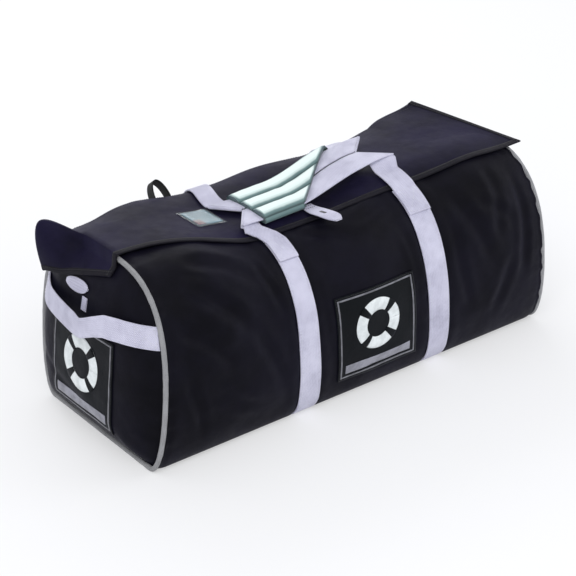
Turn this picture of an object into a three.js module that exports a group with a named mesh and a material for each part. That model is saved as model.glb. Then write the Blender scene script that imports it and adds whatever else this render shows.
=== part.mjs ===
// Packed liferaft valise: a soft black bag with webbing straps and handles, standing on its flat base.
// Millimetres, +Z up. X runs along the bag, the front face looks along -Y, and the origin is the middle
// of the base on the surface that the bag stands on.

import * as THREE from 'three';

// Bag body
const bag_length = 750;
const bag_width = 328;
const bag_height = 299;
const widest_height = 116;
const foot_round = 37;
const shoulder_power_across = 3.2;
const shoulder_power_up = 2.4;
const foot_power = 2.2;
const end_lean = 23;
const top_slide = 30;
const end_bulge = 37;
const end_bulge_power = 4.6;
const end_bulge_height = 124;
const side_puff = 4;
const shoulder_puff = 9;
const middle_sag = 6;
const end_crest = 2;
const handle_bed_depth = 14;
const handle_bed_left = -330;
const handle_bed_full_left = -130;
const handle_bed_full_right = -30;
const handle_bed_right = 150;
const handle_bed_front = 28;
const handle_bed_back = 98;

// Fabric and webbing
const panel_thickness = 2.4;
const webbing_width = 40;
const webbing_thickness = 2.8;
const strap_spacing = 257;
const strap_offset = 22;
const strap_sink = 1;
const channel_rise = 30;
const piping_diameter = 9;
const clearance = 0.3;
const loose_clearance = 0.6;
const shoulder_clearance = 1.6;
const channel_side_gap = 0.5;

// Weather flap over the zip
const flap_thickness = 2.4;
const flap_front_reach = 88;
const flap_front_reach_left = 38;
const flap_back_reach = 104;
const flap_hem_rise_back = 20;
const flap_hem_rise_front = -2;
const flap_hem_slack = 3;
const flap_hem_front_overhang = 22;
const flap_hem_back_inset = 42;
const flap_lift_length = 90;
const flap_left_stand_off = 5;
const flap_left_drop_back = 72;
const flap_left_drop_front = 30;
const flap_ear_rise = 40;
const flap_ear_width = 60;
const flap_ear_overhang = 50;
const flap_ear_drop = 50;
const flap_ear_curl = 1.5;

// Zip with its slider, and the white tag and tail at its left end
const zip_tape_width = 32;
const zip_tape_thickness = 1;
const zip_chain_width = 7;
const zip_chain_height = 2.2;
const slider_length = 16;
const slider_width = 12;
const slider_height = 2.8;
const pull_tag_length = 57;
const pull_tag_width = 20;
const pull_tag_drop = 61;
const pull_tag_centre_y = 28;
const pull_tag_slope = 0.08;
const pull_tag_thickness = 2;
const pull_tail_width = 12;
const pull_tail_length = 20;
const pull_tail_drop = 80;
const pull_tail_centre_y = 3;
const pull_tail_gap = 0.9;

// Carry handles and their grip
const handle_lap = 46;
const handle_gap = 4;
const handle_pull_left = 24;
const handle_pull_lift = 2;
const handle_height_left = -4;
const handle_height_right = 21;
const handle_rise_start = 0.35;
const handle_rise_end = 0.95;
const handle_drift_left = 24;
const handle_drift_right = 6;
const handle_bend_above = 8;
const handle_bend_below = 12;
const grip_left_margin = 3;
const grip_length = 150;
const grip_wall = 4;
const grip_skin = 2.4;
const grip_slot_slack = 1.2;
const grip_rib_height = 8;
const grip_rib_count = 3;
const grip_end_slant = 62;

// End handles
const end_handle_width = 32;
const end_handle_height = 206;
const end_handle_tilt = 9;
const end_handle_standoff = 21;
const end_handle_slack = 4;
const end_handle_seam_gap = 2;
const end_handle_seat_gap = 1.6;

// Small fittings
const loop_width = 20;
const loop_span = 30;
const loop_rise = 30;
const loop_thickness = 2;
const loop_strap_gap = 46;
const loop_seat_gap = 0.8;
const pocket_length = 62;
const pocket_depth = 58;
const pocket_strap_gap = 24;
const film_thickness = 0.8;
const card_thickness = 0.8;
const card_margin = 5;
const tab_width = 30;
const tab_length = 66;
const tab_sewn_length = 36;
const tab_centre_x = -4;
const tab_thickness = 2;
const tab_tip_rise = 24;

// Sewn patches: a black panel with a ring and a plain strip on it
const patch_length = 156;
const patch_height = 146;
const patch_base = 42;
const patch_thickness = 1.2;
const front_patch_centre_x = 26;
const end_patch_centre_y = 4;
const end_patch_stand_off = 1.2;
const end_patch_steps = 11;
const strip_margin = 5;
const strip_height = 17;
const ring_centre_height = 126;
const ring_diameter = 86;
const ring_bore = 46;
const emblem_thickness = 1.2;

// Fineness of the curved surfaces
const outline_steps = 52;
const bay_steps = 4;
const bulge_steps = 5;
const piping_sides = 8;
const flap_steps = 10;
const rib_steps = 4;
const handle_run_steps = 13;
const ring_steps = 28;
const loop_steps = 8;

const half_length = bag_length / 2;
const half_width = bag_width / 2;
const piping_radius = piping_diameter / 2;
const half_web = webbing_width / 2;
const end_plane = half_length - piping_radius - clearance;
const strap_x = (side) => strap_offset + (side * strap_spacing) / 2;
const channel_half = half_web + channel_side_gap;
const V = (x, y, z) => new THREE.Vector3(x, y, z);
const { lerp, smoothstep, clamp } = THREE.MathUtils;

// A curve's value at a place from 0 to 1, on the straight lines between equal steps of the curve
function in_steps(place, steps, curve) {
  const step = Math.min(Math.floor(place * steps), steps - 1);
  return lerp(curve(step / steps), curve((step + 1) / steps), place * steps - step);
}

// The outline of the bag across its length, as points equally far apart that start at the top centre,
// go down the front, under the base and up the back
function cross_section() {
  const fine = 80;
  const front = [];
  for (let i = 0; i <= fine; i += 1) {
    const turn = (i / fine) * (Math.PI / 2);
    const y = -half_width * Math.sin(turn) ** (2 / shoulder_power_across);
    const z = widest_height + (bag_height - widest_height) * Math.cos(turn) ** (2 / shoulder_power_up);
    front.push(new THREE.Vector2(y, z));
  }
  for (let i = 1; i <= fine; i += 1) {
    const turn = (i / fine) * (Math.PI / 2);
    const y = -(half_width - foot_round) - foot_round * Math.cos(turn) ** (2 / foot_power);
    const z = widest_height * (1 - Math.sin(turn) ** (2 / foot_power));
    front.push(new THREE.Vector2(y, z));
  }
  const back = front.map((p) => new THREE.Vector2(-p.x, p.y)).reverse();
  const path = new THREE.Path([...front, ...back, front[0].clone()]);
  return path.getSpacedPoints(outline_steps).slice(0, outline_steps);
}

const outline = cross_section();
const outline_step = outline[0].distanceTo(outline[1]);

function outline_normal(k) {
  const before = outline[(k + outline_steps - 1) % outline_steps];
  const after = outline[(k + 1) % outline_steps];
  const along = after.clone().sub(before).normalize();
  return new THREE.Vector2(along.y, -along.x);
}

const outline_normals = outline.map((point, k) => outline_normal(k));

// The two corners of the outline on each side of a distance from its top centre, positive to the front
function outline_span(distance) {
  const place = distance / outline_step;
  const first = Math.floor(place);
  const a = ((first % outline_steps) + outline_steps) % outline_steps;
  return { a, b: (a + 1) % outline_steps, share: place - first };
}

function outline_at(distance) {
  const { a, b, share } = outline_span(distance);
  return {
    point: outline[a].clone().lerp(outline[b], share),
    normal: outline_normals[a].clone().lerp(outline_normals[b], share).normalize(),
  };
}

// Distances from one place on the outline to another, with each corner of the outline between them
function outline_stops(from, to) {
  const stops = [from];
  for (let k = Math.ceil(from / outline_step + 0.05); k < to / outline_step - 0.05; k += 1) {
    stops.push(k * outline_step);
  }
  stops.push(to);
  return stops;
}

// A curve's value along the bag, on the straight lines between the stations where the bag has a ring
function in_stations(x, curve) {
  const last = station_xs.length - 2;
  const i = clamp(station_xs.findIndex((station) => station > x) - 1, 0, last);
  const [from, to] = [station_xs[x > station_xs[last] ? last : i], station_xs[(x > station_xs[last] ? last : i) + 1]];
  return lerp(curve(from), curve(to), clamp((x - from) / (to - from), 0, 1));
}

// The hollow that the carry handles have pressed into the top, deepest at the left and towards the front
function handle_bed(x, y) {
  const along = (u) => smoothstep(u, handle_bed_left, handle_bed_full_left)
    * (1 - smoothstep(u, handle_bed_full_right, handle_bed_right));
  return handle_bed_depth * in_stations(x, along) * (1 - smoothstep(y, handle_bed_front, handle_bed_back));
}

// The filled bag swells in the three bays between its ends and straps, most at the shoulders. The top
// of the middle bay sags, and the base stays flat
function swell(x, point, normal) {
  const [left, right] = [strap_x(-1), strap_x(1)];
  const middle = x > left && x < right;
  const bay = middle ? [left + channel_half, right - channel_half] : [right + channel_half, end_plane];
  const [from, to] = x < left ? [-end_plane, left - channel_half] : bay;
  const wave = in_steps(clamp((x - from) / (to - from), 0, 1), bay_steps, (u) => Math.sin(u * Math.PI) ** 2);
  const above_foot = clamp(point.y / widest_height, 0, 1);
  const upward = clamp(normal.y, 0, 1) * above_foot;
  const crest = middle ? -middle_sag : end_crest;
  const shoulder = 2 * Math.abs(normal.x) * upward * shoulder_puff;
  const swelling = above_foot * Math.abs(normal.x) * side_puff + shoulder + upward ** 2 * crest;
  return wave * swelling - upward ** 2 * handle_bed(x, point.x);
}

function skin_corner(x, k, above) {
  const point = outline[k];
  const out = above + swell(x, point, outline_normals[k]);
  return V(x, point.x + outline_normals[k].x * out, point.y + outline_normals[k].y * out);
}

// A point on the bag's skin, or above it along the outline's own outward direction
function skin(x, distance, above = 0) {
  const { a, b, share } = outline_span(distance);
  return skin_corner(x, a, above).lerp(skin_corner(x, b, above), share);
}

// How far a strap's channel is sunk into the skin: flush with the base below, shallow on the sides
function channel_depth(distance) {
  const { point } = outline_at(distance);
  const below = webbing_thickness + clearance;
  return lerp(below, strap_sink, clamp(point.y / channel_rise, 0, 1));
}

// Closed solids from grids of points
function solid(corners, faces) {
  const geometry = new THREE.BufferGeometry();
  geometry.setAttribute('position', new THREE.Float32BufferAttribute(corners.flatMap((p) => [p.x, p.y, p.z]), 3));
  geometry.setIndex(faces.flat());
  const shape = geometry.index.array;
  const position = geometry.attributes.position;
  let volume = 0;
  const [a, b, c] = [V(0, 0, 0), V(0, 0, 0), V(0, 0, 0)];
  for (let i = 0; i < shape.length; i += 3) {
    a.fromBufferAttribute(position, shape[i]);
    b.fromBufferAttribute(position, shape[i + 1]);
    c.fromBufferAttribute(position, shape[i + 2]);
    volume += a.dot(b.cross(c));
  }
  if (volume < 0) {
    geometry.setIndex(faces.map(([p, q, r]) => [p, r, q]).flat());
  }
  geometry.computeVertexNormals();
  return geometry;
}

// A skin through rings of points, closed by a tip at each end, or run round into a loop
function loft(rings, first_tip, last_tip) {
  const count = rings[0].length;
  const corners = rings.flat();
  const faces = [];
  const looped = !first_tip;
  const spans = looped ? rings.length : rings.length - 1;
  for (let i = 0; i < spans; i += 1) {
    for (let j = 0; j < count; j += 1) {
      const next_ring = (i + 1) % rings.length;
      const next = (j + 1) % count;
      const [a, b, c, d] = [i * count + j, i * count + next, next_ring * count + next, next_ring * count + j];
      faces.push([a, b, c], [a, c, d]);
    }
  }
  if (!looped) {
    const first = corners.push(first_tip) - 1;
    const last = corners.push(last_tip) - 1;
    const base = (rings.length - 1) * count;
    for (let j = 0; j < count; j += 1) {
      const next = (j + 1) % count;
      faces.push([first, next, j], [last, base + j, base + next]);
    }
  }
  return solid(corners, faces);
}

// A sheet with thickness between two grids of points, whose rows may close on themselves
function sheet(outer, inner, closed = false) {
  const rows = outer.length;
  const columns = outer[0].length;
  const corners = [...outer.flat(), ...inner.flat()];
  const under = rows * columns;
  const faces = [];
  const quad = (a, b, c, d) => faces.push([a, b, c], [a, c, d]);
  const spans = closed ? columns : columns - 1;
  for (let j = 0; j < spans; j += 1) {
    const next = (j + 1) % columns;
    for (let i = 0; i < rows - 1; i += 1) {
      const [a, b] = [i * columns + j, i * columns + next];
      const [c, d] = [(i + 1) * columns + next, (i + 1) * columns + j];
      quad(a, b, c, d);
      quad(under + d, under + c, under + b, under + a);
    }
    const last = (rows - 1) * columns;
    quad(under + j, under + next, next, j);
    quad(last + j, last + next, under + last + next, under + last + j);
  }
  for (let i = 0; i < rows - 1 && !closed; i += 1) {
    const [a, d] = [i * columns, (i + 1) * columns];
    const [b, c] = [a + columns - 1, d + columns - 1];
    quad(a, d, under + d, under + a);
    quad(b, under + b, under + c, c);
  }
  return solid(corners, faces);
}

// A strip laid on the skin between two places on the outline and two places along the bag
function laid_strip(xs, stops, above, thickness) {
  const rows = (height) => xs.map((x) => stops.map((distance) => skin(x, distance, height(distance))));
  return sheet(rows((s) => above(s) + thickness), rows((s) => above(s)));
}

// The bag itself with the packed raft inside, sealed: one solid
function bay_stations() {
  const bays = [
    [-end_plane, strap_x(-1) - channel_half],
    [strap_x(-1) + channel_half, strap_x(1) - channel_half],
    [strap_x(1) + channel_half, end_plane],
  ];
  const found = [];
  const step = channel_side_gap / 2;
  for (const [from, to] of bays) {
    if (from > -end_plane) {
      found.push({ x: from - step, sunk: 1 });
    }
    for (let i = 0; i <= bay_steps; i += 1) {
      found.push({ x: lerp(from, to, i / bay_steps), sunk: 0 });
    }
    if (to < end_plane) {
      found.push({ x: to + step, sunk: 1 });
    }
  }
  return found;
}

const stations = bay_stations();
const station_xs = stations.filter(({ sunk }) => !sunk).map(({ x }) => x);
const xs_between = (from, to) => [from, ...station_xs.filter((x) => x > from + 1 && x < to - 1), to];
const end_centre = V(0, 0, end_bulge_height);

// A point of the bulging end: share is 1 at the rim and 0 at the middle
function end_point(side, k, share, inset, out) {
  const rim = outline[k].clone().addScaledVector(outline_normals[k], -inset);
  const y = lerp(end_centre.y, rim.x, share);
  const z = lerp(end_centre.z, rim.y, share);
  const dome = end_bulge * (1 - share ** end_bulge_power);
  return V(side * (end_plane + dome + out), y, z);
}

function end_ring(side, share, inset, out) {
  return outline.map((point, k) => end_point(side, k, share, inset, out));
}

const panel_inset = piping_diameter + 2 * clearance;
const panel_shares = Array.from({ length: bulge_steps }, (unused, i) => Math.sqrt(1 - i / bulge_steps));

function packed_bag() {
  const rings = stations.map(({ x, sunk }) => outline.map((point, k) => {
    const distance = k * outline_step;
    return skin(x, distance, -sunk * channel_depth(distance));
  }));
  const cap = (side) => panel_shares.map((share) => end_ring(side, share, panel_inset, 0));
  const tip = (side) => V(side * (end_plane + end_bulge), end_centre.y, end_centre.z);
  return loft([...cap(-1).reverse(), ...rings, ...cap(1)], tip(-1), tip(1));
}

// End panel: the sewn D-shaped fabric over the bulging end, inside the piping
function end_panel(side) {
  const under = panel_shares.map((share) => end_ring(side, share, panel_inset, clearance));
  const over = panel_shares.map((share) => end_ring(side, share, panel_inset, clearance + panel_thickness));
  const reach = end_plane + end_bulge + clearance;
  const inner_tip = V(side * reach, end_centre.y, end_centre.z);
  const outer_tip = V(side * (reach + panel_thickness), end_centre.y, end_centre.z);
  return loft([...under.reverse(), ...over], inner_tip, outer_tip);
}

// Piping: a round cord sewn into the seam all round the end
function piping(side) {
  const rings = outline.map((point, k) => {
    const inward = outline_normals[k].clone().multiplyScalar(-piping_radius);
    const centre = point.clone().add(inward);
    const ring = [];
    for (let i = 0; i < piping_sides; i += 1) {
      const turn = ((i + 0.5) / piping_sides) * Math.PI * 2;
      const out = outline_normals[k].clone().multiplyScalar(Math.cos(turn) * piping_radius);
      const x = side * (half_length + Math.sin(turn) * piping_radius);
      ring.push(V(x, centre.x + out.x, centre.y + out.y));
    }
    return ring;
  });
  return loft(rings);
}

// Girth strap: webbing up the front, under the base in its channel and up the back
const outline_length = outline_step * outline_steps;
const strap_front_end = flap_front_reach + handle_gap;
const strap_back_end = outline_length - flap_back_reach - handle_gap;

function girth_strap(side) {
  const xs = [strap_x(side) - half_web, strap_x(side) + half_web];
  const stops = outline_stops(strap_front_end, strap_back_end);
  return laid_strip(xs, stops, (distance) => clearance - channel_depth(distance), webbing_thickness);
}

// A ribbon through stations that each give its middle, its half width as a vector and its face's direction
function ribbon(stops, thickness) {
  const outer = stops.map(({ middle, across, face }) => {
    const lifted = middle.clone().addScaledVector(face, thickness);
    return [lifted.clone().add(across), lifted.clone().sub(across)];
  });
  const inner = stops.map(({ middle, across }) => [middle.clone().add(across), middle.clone().sub(across)]);
  return sheet(outer, inner);
}

// The end panel's outer surface, found along a ray from the middle of the bulge to the panel's rim
const panel_rim = outline.map((point, k) => point.clone().addScaledVector(outline_normals[k], -panel_inset));

function panel_x(y, z) {
  const centre = new THREE.Vector2(end_centre.y, end_centre.z);
  const ray = new THREE.Vector2(y, z).sub(centre);
  let share = 0;
  panel_rim.forEach((corner, k) => {
    const a = corner.clone().sub(centre);
    const edge = panel_rim[(k + 1) % outline_steps].clone().sub(corner);
    const crossing = ray.cross(edge);
    const reach = a.cross(edge) / crossing;
    const along = a.cross(ray) / crossing;
    if (reach > 0 && along >= 0 && along < 1) {
      share = 1 / reach;
    }
  });
  const dome = end_bulge * (1 - Math.min(share, 1) ** end_bulge_power);
  return end_plane + dome + clearance + panel_thickness;
}

// Weather flap: a stiff strip over the zip. Sewn along the back, free along the front, with a straight
// hem that stands up at the back of the right end. The left end hangs over the end panel, and its back
// corner curls outward
const zip_room = clearance + zip_tape_thickness + zip_chain_height + clearance;

function flap_lift(distance) {
  const far = smoothstep(Math.abs(distance), flap_front_reach_left, flap_front_reach);
  return lerp(zip_room, shoulder_clearance, far);
}

function flap_stops(x) {
  const widening = smoothstep(x, -half_length, strap_x(-1) - channel_half);
  const reach = lerp(flap_front_reach_left, flap_front_reach, widening);
  return Array.from({ length: flap_steps + 1 }, (unused, i) => lerp(-flap_back_reach, reach, i / flap_steps));
}

function flap_row(x, extra) {
  return flap_stops(x).map((distance) => skin(x, distance, flap_lift(distance) + extra));
}

const hem_start = half_length - flap_hem_back_inset - flap_lift_length;

function right_hem_row(share, extra) {
  const resting = flap_row(lerp(hem_start, end_plane, share), extra);
  return resting.map((point, i) => {
    const front = i / flap_steps;
    const end_x = half_length + lerp(-flap_hem_back_inset, flap_hem_front_overhang, front);
    const hem_z = bag_height + lerp(flap_hem_rise_back, flap_hem_rise_front, front) + extra;
    const z = lerp(point.z + flap_hem_slack * Math.sin(share * Math.PI), Math.max(hem_z, point.z), share);
    return V(lerp(hem_start, end_x, share), point.y, z);
  });
}

function left_end_row(share, extra) {
  return flap_row(-end_plane, extra).map((point, i) => {
    const place = i / flap_steps;
    const back = 1 - smoothstep(place * (flap_back_reach + flap_front_reach_left), 0, flap_ear_width);
    const turn = (share * Math.PI) / 2;
    const z = point.z - lerp(flap_left_drop_back, flap_left_drop_front, place) * (1 - Math.cos(turn));
    const past_piping = half_length + piping_radius;
    const drape = Math.max(past_piping, panel_x(point.y, z) + flap_left_stand_off * Math.sin(turn));
    const resting = V(-drape - extra * Math.sin(turn), point.y, z);
    const out = past_piping + flap_ear_overhang * Math.sin(turn * flap_ear_curl) + extra * Math.sin(turn);
    const curled = point.z + flap_ear_rise * Math.sin(2 * turn) - flap_ear_drop * share ** 2;
    return resting.lerp(V(-out, point.y, curled), back);
  });
}

function weather_flap() {
  const rested = station_xs.filter((x) => x < hem_start - 1);
  const grid = (extra) => [
    ...[1, 0.75, 0.5, 0.25, 0].map((share) => left_end_row(share, extra)),
    ...rested.map((x) => flap_row(x, extra)),
    ...[0, 0.25, 0.5, 0.75, 1].map((share) => right_hem_row(share, extra)),
  ];
  return sheet(grid(flap_thickness), grid(0));
}

// Zip under the flap: the tape with its closed chain, and the slider parked at its left end
const slider_x = -end_plane + slider_length / 2 + clearance;
const zip_from = slider_x + slider_length / 2 + clearance;
const zip_to = end_plane - clearance;

function zip_tape() {
  const half_tape = zip_tape_width / 2;
  const half_chain = zip_chain_width / 2;
  const places = [-half_tape, -half_chain, 0, half_chain, half_tape];
  const chain = (distance) => (Math.abs(distance) <= half_chain ? zip_chain_height : 0);
  const height = (distance) => clearance + zip_tape_thickness + chain(distance);
  const rows = (above) => xs_between(zip_from, zip_to).map((x) => places.map((place) => skin(x, place, above(place))));
  return sheet(rows(height), rows(() => clearance));
}

function zip_slider() {
  const body = new THREE.BoxGeometry(slider_length, slider_width, slider_height);
  const lie = skin(slider_x, 0, clearance);
  body.translate(lie.x, lie.y, lie.z + slider_height / 2);
  return body;
}

// Carry handles: webbing that laps on a girth strap, turns square along the top and laps on the other
const over_flap = shoulder_clearance + flap_thickness + clearance;
const handle_middle = half_web + handle_gap / 2;
const handle_top_x = (side) => strap_x(side) - (side < 0 ? handle_pull_left : 0);
const handle_from = handle_top_x(-1) + half_web + handle_gap;
const handle_to = handle_top_x(1) - half_web - handle_gap;

function handle_rise(x) {
  const place = clamp((x - handle_from) / (handle_to - handle_from), 0, 1);
  const raised = (u) => smoothstep(u, handle_rise_start, handle_rise_end);
  return lerp(handle_height_left, handle_height_right, in_steps(place, handle_run_steps, raised));
}

// How far forward of the zip the middle between the two handles lies
function handle_drift(x) {
  const place = clamp((x - handle_top_x(-1)) / (handle_top_x(1) - handle_top_x(-1)), 0, 1);
  return lerp(handle_drift_left, handle_drift_right, place);
}

const handle_run_xs = Array.from({ length: handle_run_steps + 1 }, (unused, i) => (
  lerp(handle_from, handle_to, i / handle_run_steps)
));

function carry_handle(front) {
  const lap_start = front > 0 ? strap_front_end : flap_back_reach + handle_gap;
  const turn_at = (side) => handle_middle + half_web + handle_gap * 2 + front * handle_drift(handle_top_x(side));
  const upright = V(0, 0, 1);
  const leg = (side) => outline_stops(turn_at(side), lap_start + handle_lap).reverse().map((place) => {
    const { normal } = outline_at(front * place);
    const over_zip = flap_lift(place - outline_step) - shoulder_clearance;
    const bend = [turn_at(side) - handle_bend_above, lap_start + handle_bend_below];
    const pulled = side < 0 ? 1 - smoothstep(place, ...bend) : 0;
    const above = over_flap + over_zip + pulled * handle_pull_lift;
    return {
      middle: skin(lerp(strap_x(side), handle_top_x(side), pulled), front * place, above),
      across: V(side * half_web, 0, 0),
      face: V(0, normal.x, normal.y),
    };
  });
  const top = (x, across) => ({
    middle: V(x, -front * handle_middle - handle_drift(x), bag_height + handle_rise(x)),
    across,
    face: upright,
  });
  const corner = (side) => top(handle_top_x(side), V(side * half_web, front * half_web, 0));
  const run = handle_run_xs.map((x) => top(x, V(0, front * half_web, 0)));
  return ribbon([...leg(-1), corner(-1), ...run, corner(1), ...leg(1).reverse()], webbing_thickness);
}

// Grip: a padded wrap with three ribs round both handles, cut on the slant at its right end
function handle_grip() {
  const slot_half = handle_middle + half_web + clearance;
  const slot_top = webbing_thickness + grip_slot_slack;
  const half = slot_half + grip_wall;
  const profile = [];
  const top_steps = grip_rib_count * rib_steps;
  for (let i = 0; i <= top_steps; i += 1) {
    const share = i / top_steps;
    const rib = grip_rib_height * Math.abs(Math.sin(share * Math.PI * grip_rib_count));
    profile.push([lerp(half, -half, share), slot_top + grip_skin + rib]);
  }
  for (let i = 0; i <= rib_steps; i += 1) {
    profile.push([lerp(-half, half, i / rib_steps), -loose_clearance - grip_skin]);
  }
  const grip_from = handle_from + grip_left_margin;
  const grid = (points) => Array.from({ length: handle_run_steps + 1 }, (unused, i) => points.map(([y, z]) => {
    const grip_to = grip_from + grip_length + (grip_end_slant * y) / half;
    const x = lerp(grip_from, grip_to, i / handle_run_steps);
    return V(x, y - handle_drift(x), bag_height + handle_rise(x) + z);
  }));
  const slot = profile.map(([y, z]) => [clamp(y, -slot_half, slot_half), z > 0 ? slot_top : -loose_clearance]);
  return sheet(grid(profile), grid(slot), true);
}

// A sheet on the end panel through rows of places, each given across and up
function panel_sheet(side, rows, above, thickness) {
  const grid = (off) => rows.map((row) => row.map(([y, z]) => V(side * (panel_x(y, z) + off), y, z)));
  return sheet(grid(above + thickness), grid(above));
}

// Distance from the top centre down the front to a height
function front_distance(height) {
  const k = outline.findIndex((point) => point.y < height);
  const [a, b] = [outline[k - 1], outline[k]];
  return (k - 1 + (a.y - height) / (a.y - b.y)) * outline_step;
}

// End handle: webbing across the end panel from seam to seam, with a kink where it starts to stand off
function end_handle(side) {
  const seam = [1, 0];
  const curve = [0.94, 0];
  const seat = [0.86, 0];
  const rise = [0.68, end_handle_slack];
  const front_kink = [0.3, end_handle_standoff];
  const back_kink = [0.45, end_handle_standoff];
  const front = [seam, curve, seat, rise, front_kink].map(([share, out]) => [-share, out]);
  const stops = [...front, back_kink, rise, seat, curve, seam].map(([share, out]) => {
    const edge = (up) => {
      const z = end_handle_height - end_handle_tilt * share + (up * end_handle_width) / 2;
      const half_span = -outline_at(front_distance(z)).point.x - panel_inset - end_handle_seam_gap;
      const y = share * half_span;
      return V(side * (panel_x(y, z) + end_handle_seat_gap + out), y, z);
    };
    const across = edge(1).sub(edge(-1)).multiplyScalar(0.5);
    return { middle: edge(1).sub(across), across, face: V(side, 0, 0) };
  });
  return ribbon(stops, webbing_thickness);
}

// White tag at the zip's left end: a rounded tongue lying across the end panel under the flap
function pull_tag() {
  const widths = [0.25, 0.7, 0.95, 1, 0.85, 0.4];
  const rows = widths.map((width, i) => {
    const share = i / (widths.length - 1) - 0.5;
    const y = pull_tag_centre_y - share * pull_tag_length;
    const z = bag_height - pull_tag_drop + share * pull_tag_length * pull_tag_slope;
    return [[y, z + (width * pull_tag_width) / 2], [y, z - (width * pull_tag_width) / 2]];
  });
  return panel_sheet(-1, rows, pull_tail_gap, pull_tag_thickness);
}

function pull_tail() {
  const rows = [-0.5, 0.5].map((share) => {
    const y = pull_tail_centre_y - share * pull_tail_width;
    const z = bag_height - pull_tail_drop;
    return [[y, z + pull_tail_length / 2], [y, z - pull_tail_length / 2]];
  });
  return panel_sheet(-1, rows, pull_tail_gap, webbing_thickness / 2);
}

// Lashing loop: a narrow webbing arch at the back shoulder beside the left strap
function lashing_loop() {
  const centre_x = strap_x(-1) - half_web - loop_strap_gap;
  const place = -(flap_back_reach + handle_gap + loop_width / 2);
  const { normal } = outline_at(place);
  const across = V(0, normal.y, -normal.x).multiplyScalar(loop_width / 2);
  const stops = Array.from({ length: loop_steps + 1 }, (unused, i) => {
    const turn = (i / loop_steps) * Math.PI;
    const foot = skin(centre_x - Math.cos(turn) * (loop_span / 2), place, loop_seat_gap);
    const up = V(0, normal.x, normal.y).multiplyScalar(loop_rise * Math.sin(turn));
    const face = V(-Math.cos(turn), normal.x * Math.sin(turn), normal.y * Math.sin(turn));
    return { middle: foot.add(up), across, face };
  });
  return ribbon(stops, loop_thickness);
}

// Card pocket on the flap: a card under a clear film beside the left strap
const pocket_to = strap_x(-1) - half_web - pocket_strap_gap;
const pocket_from = pocket_to - pocket_length;
const on_flap = (distance) => flap_lift(distance) + flap_thickness;

function pocket_sheet(margin, above, thickness) {
  const stops = outline_stops(margin - pocket_depth / 2, pocket_depth / 2 - margin);
  const height = (distance) => on_flap(distance) + above;
  return laid_strip(xs_between(pocket_from + margin, pocket_to - margin), stops, height, thickness);
}

// White tab sewn under the front hem of the flap, standing out over the shoulder
function flap_tab() {
  const widths = [0.7, 0.8, 0.95, 1, 0.9, 0.6];
  const start = flap_front_reach - tab_sewn_length;
  const rows = (extra) => widths.map((width, i) => {
    const share = i / (widths.length - 1);
    const distance = start + share * tab_length;
    const above = on_flap(distance) + loose_clearance + tab_tip_rise * share ** 2 + extra;
    const half = (width * tab_width) / 2;
    return [skin(tab_centre_x - half, distance, above), skin(tab_centre_x + half, distance, above)];
  });
  return sheet(rows(tab_thickness), rows(0));
}

const on_patch = loose_clearance + patch_thickness + loose_clearance;
const on_end_patch = end_patch_stand_off + patch_thickness + clearance;
const strip_from = patch_base + strip_margin;

function front_strip(length, from_height, to_height, above, thickness) {
  const xs = xs_between(front_patch_centre_x - length / 2, front_patch_centre_x + length / 2);
  const stops = outline_stops(front_distance(to_height), front_distance(from_height));
  return laid_strip(xs, stops, () => above, thickness);
}

function ring_grid(at) {
  return [ring_diameter / 2, ring_bore / 2].map((radius) => Array.from({ length: ring_steps }, (unused, i) => {
    const turn = (i / ring_steps) * Math.PI * 2;
    return at(Math.cos(turn) * radius, ring_centre_height + Math.sin(turn) * radius);
  }));
}

function front_ring() {
  const grid = (above) => ring_grid((x, z) => skin(front_patch_centre_x + x, front_distance(z), above));
  return sheet(grid(on_patch + emblem_thickness), grid(on_patch), true);
}

function end_ring_emblem() {
  const grid = (off) => ring_grid((y, z) => V(-(panel_x(end_patch_centre_y + y, z) + off), end_patch_centre_y + y, z));
  return sheet(grid(on_end_patch + emblem_thickness), grid(on_end_patch), true);
}

function end_strip(length, from_height, to_height, above, thickness) {
  const steps = Array.from({ length: end_patch_steps + 1 }, (unused, i) => i / end_patch_steps);
  const rows = steps.map((across) => {
    const y = end_patch_centre_y + lerp(length / 2, -length / 2, across);
    return steps.map((up) => [y, lerp(to_height, from_height, up)]);
  });
  return panel_sheet(-1, rows, above, thickness);
}

// The filled bag slumps: its ends lean in with height, and its top slides a little to the left
function settle(geometry) {
  const position = geometry.attributes.position;
  for (let i = 0; i < position.count; i += 1) {
    const x = position.getX(i);
    const height = position.getZ(i) / bag_height;
    const along = clamp(x / half_length, -1, 1);
    const slide = top_slide * Math.cos((along * Math.PI) / 2) ** 2;
    position.setX(i, x - (x / half_length) * end_lean * height - slide * height);
  }
  geometry.computeVertexNormals();
  return geometry;
}

const finishes = {
  black_fabric: { color: 0x1b1b26, roughness: 0.72, metalness: 0 },
  navy_fabric: { color: 0x26243a, roughness: 0.66, metalness: 0 },
  white_webbing: { color: 0xd9d8e6, roughness: 0.7, metalness: 0 },
  mint_grip: { color: 0xdbe8e4, roughness: 0.6, metalness: 0 },
  grey_piping: { color: 0xb4b4b4, roughness: 0.55, metalness: 0 },
  white_print: { color: 0xeef2f2, roughness: 0.5, metalness: 0 },
  grey_strip: { color: 0x8f8f9a, roughness: 0.4, metalness: 0 },
  clear_film: { color: 0x9fb6bd, roughness: 0.15, metalness: 0 },
  slate_card: { color: 0x5f7681, roughness: 0.6, metalness: 0 },
  dark_metal: { color: 0x3a3a3e, roughness: 0.4, metalness: 0.9 },
};

const valise = new THREE.Group();

function add(name, geometry, finish) {
  const mesh = new THREE.Mesh(settle(geometry), new THREE.MeshStandardMaterial(finishes[finish]));
  mesh.name = name;
  valise.add(mesh);
}

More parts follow.
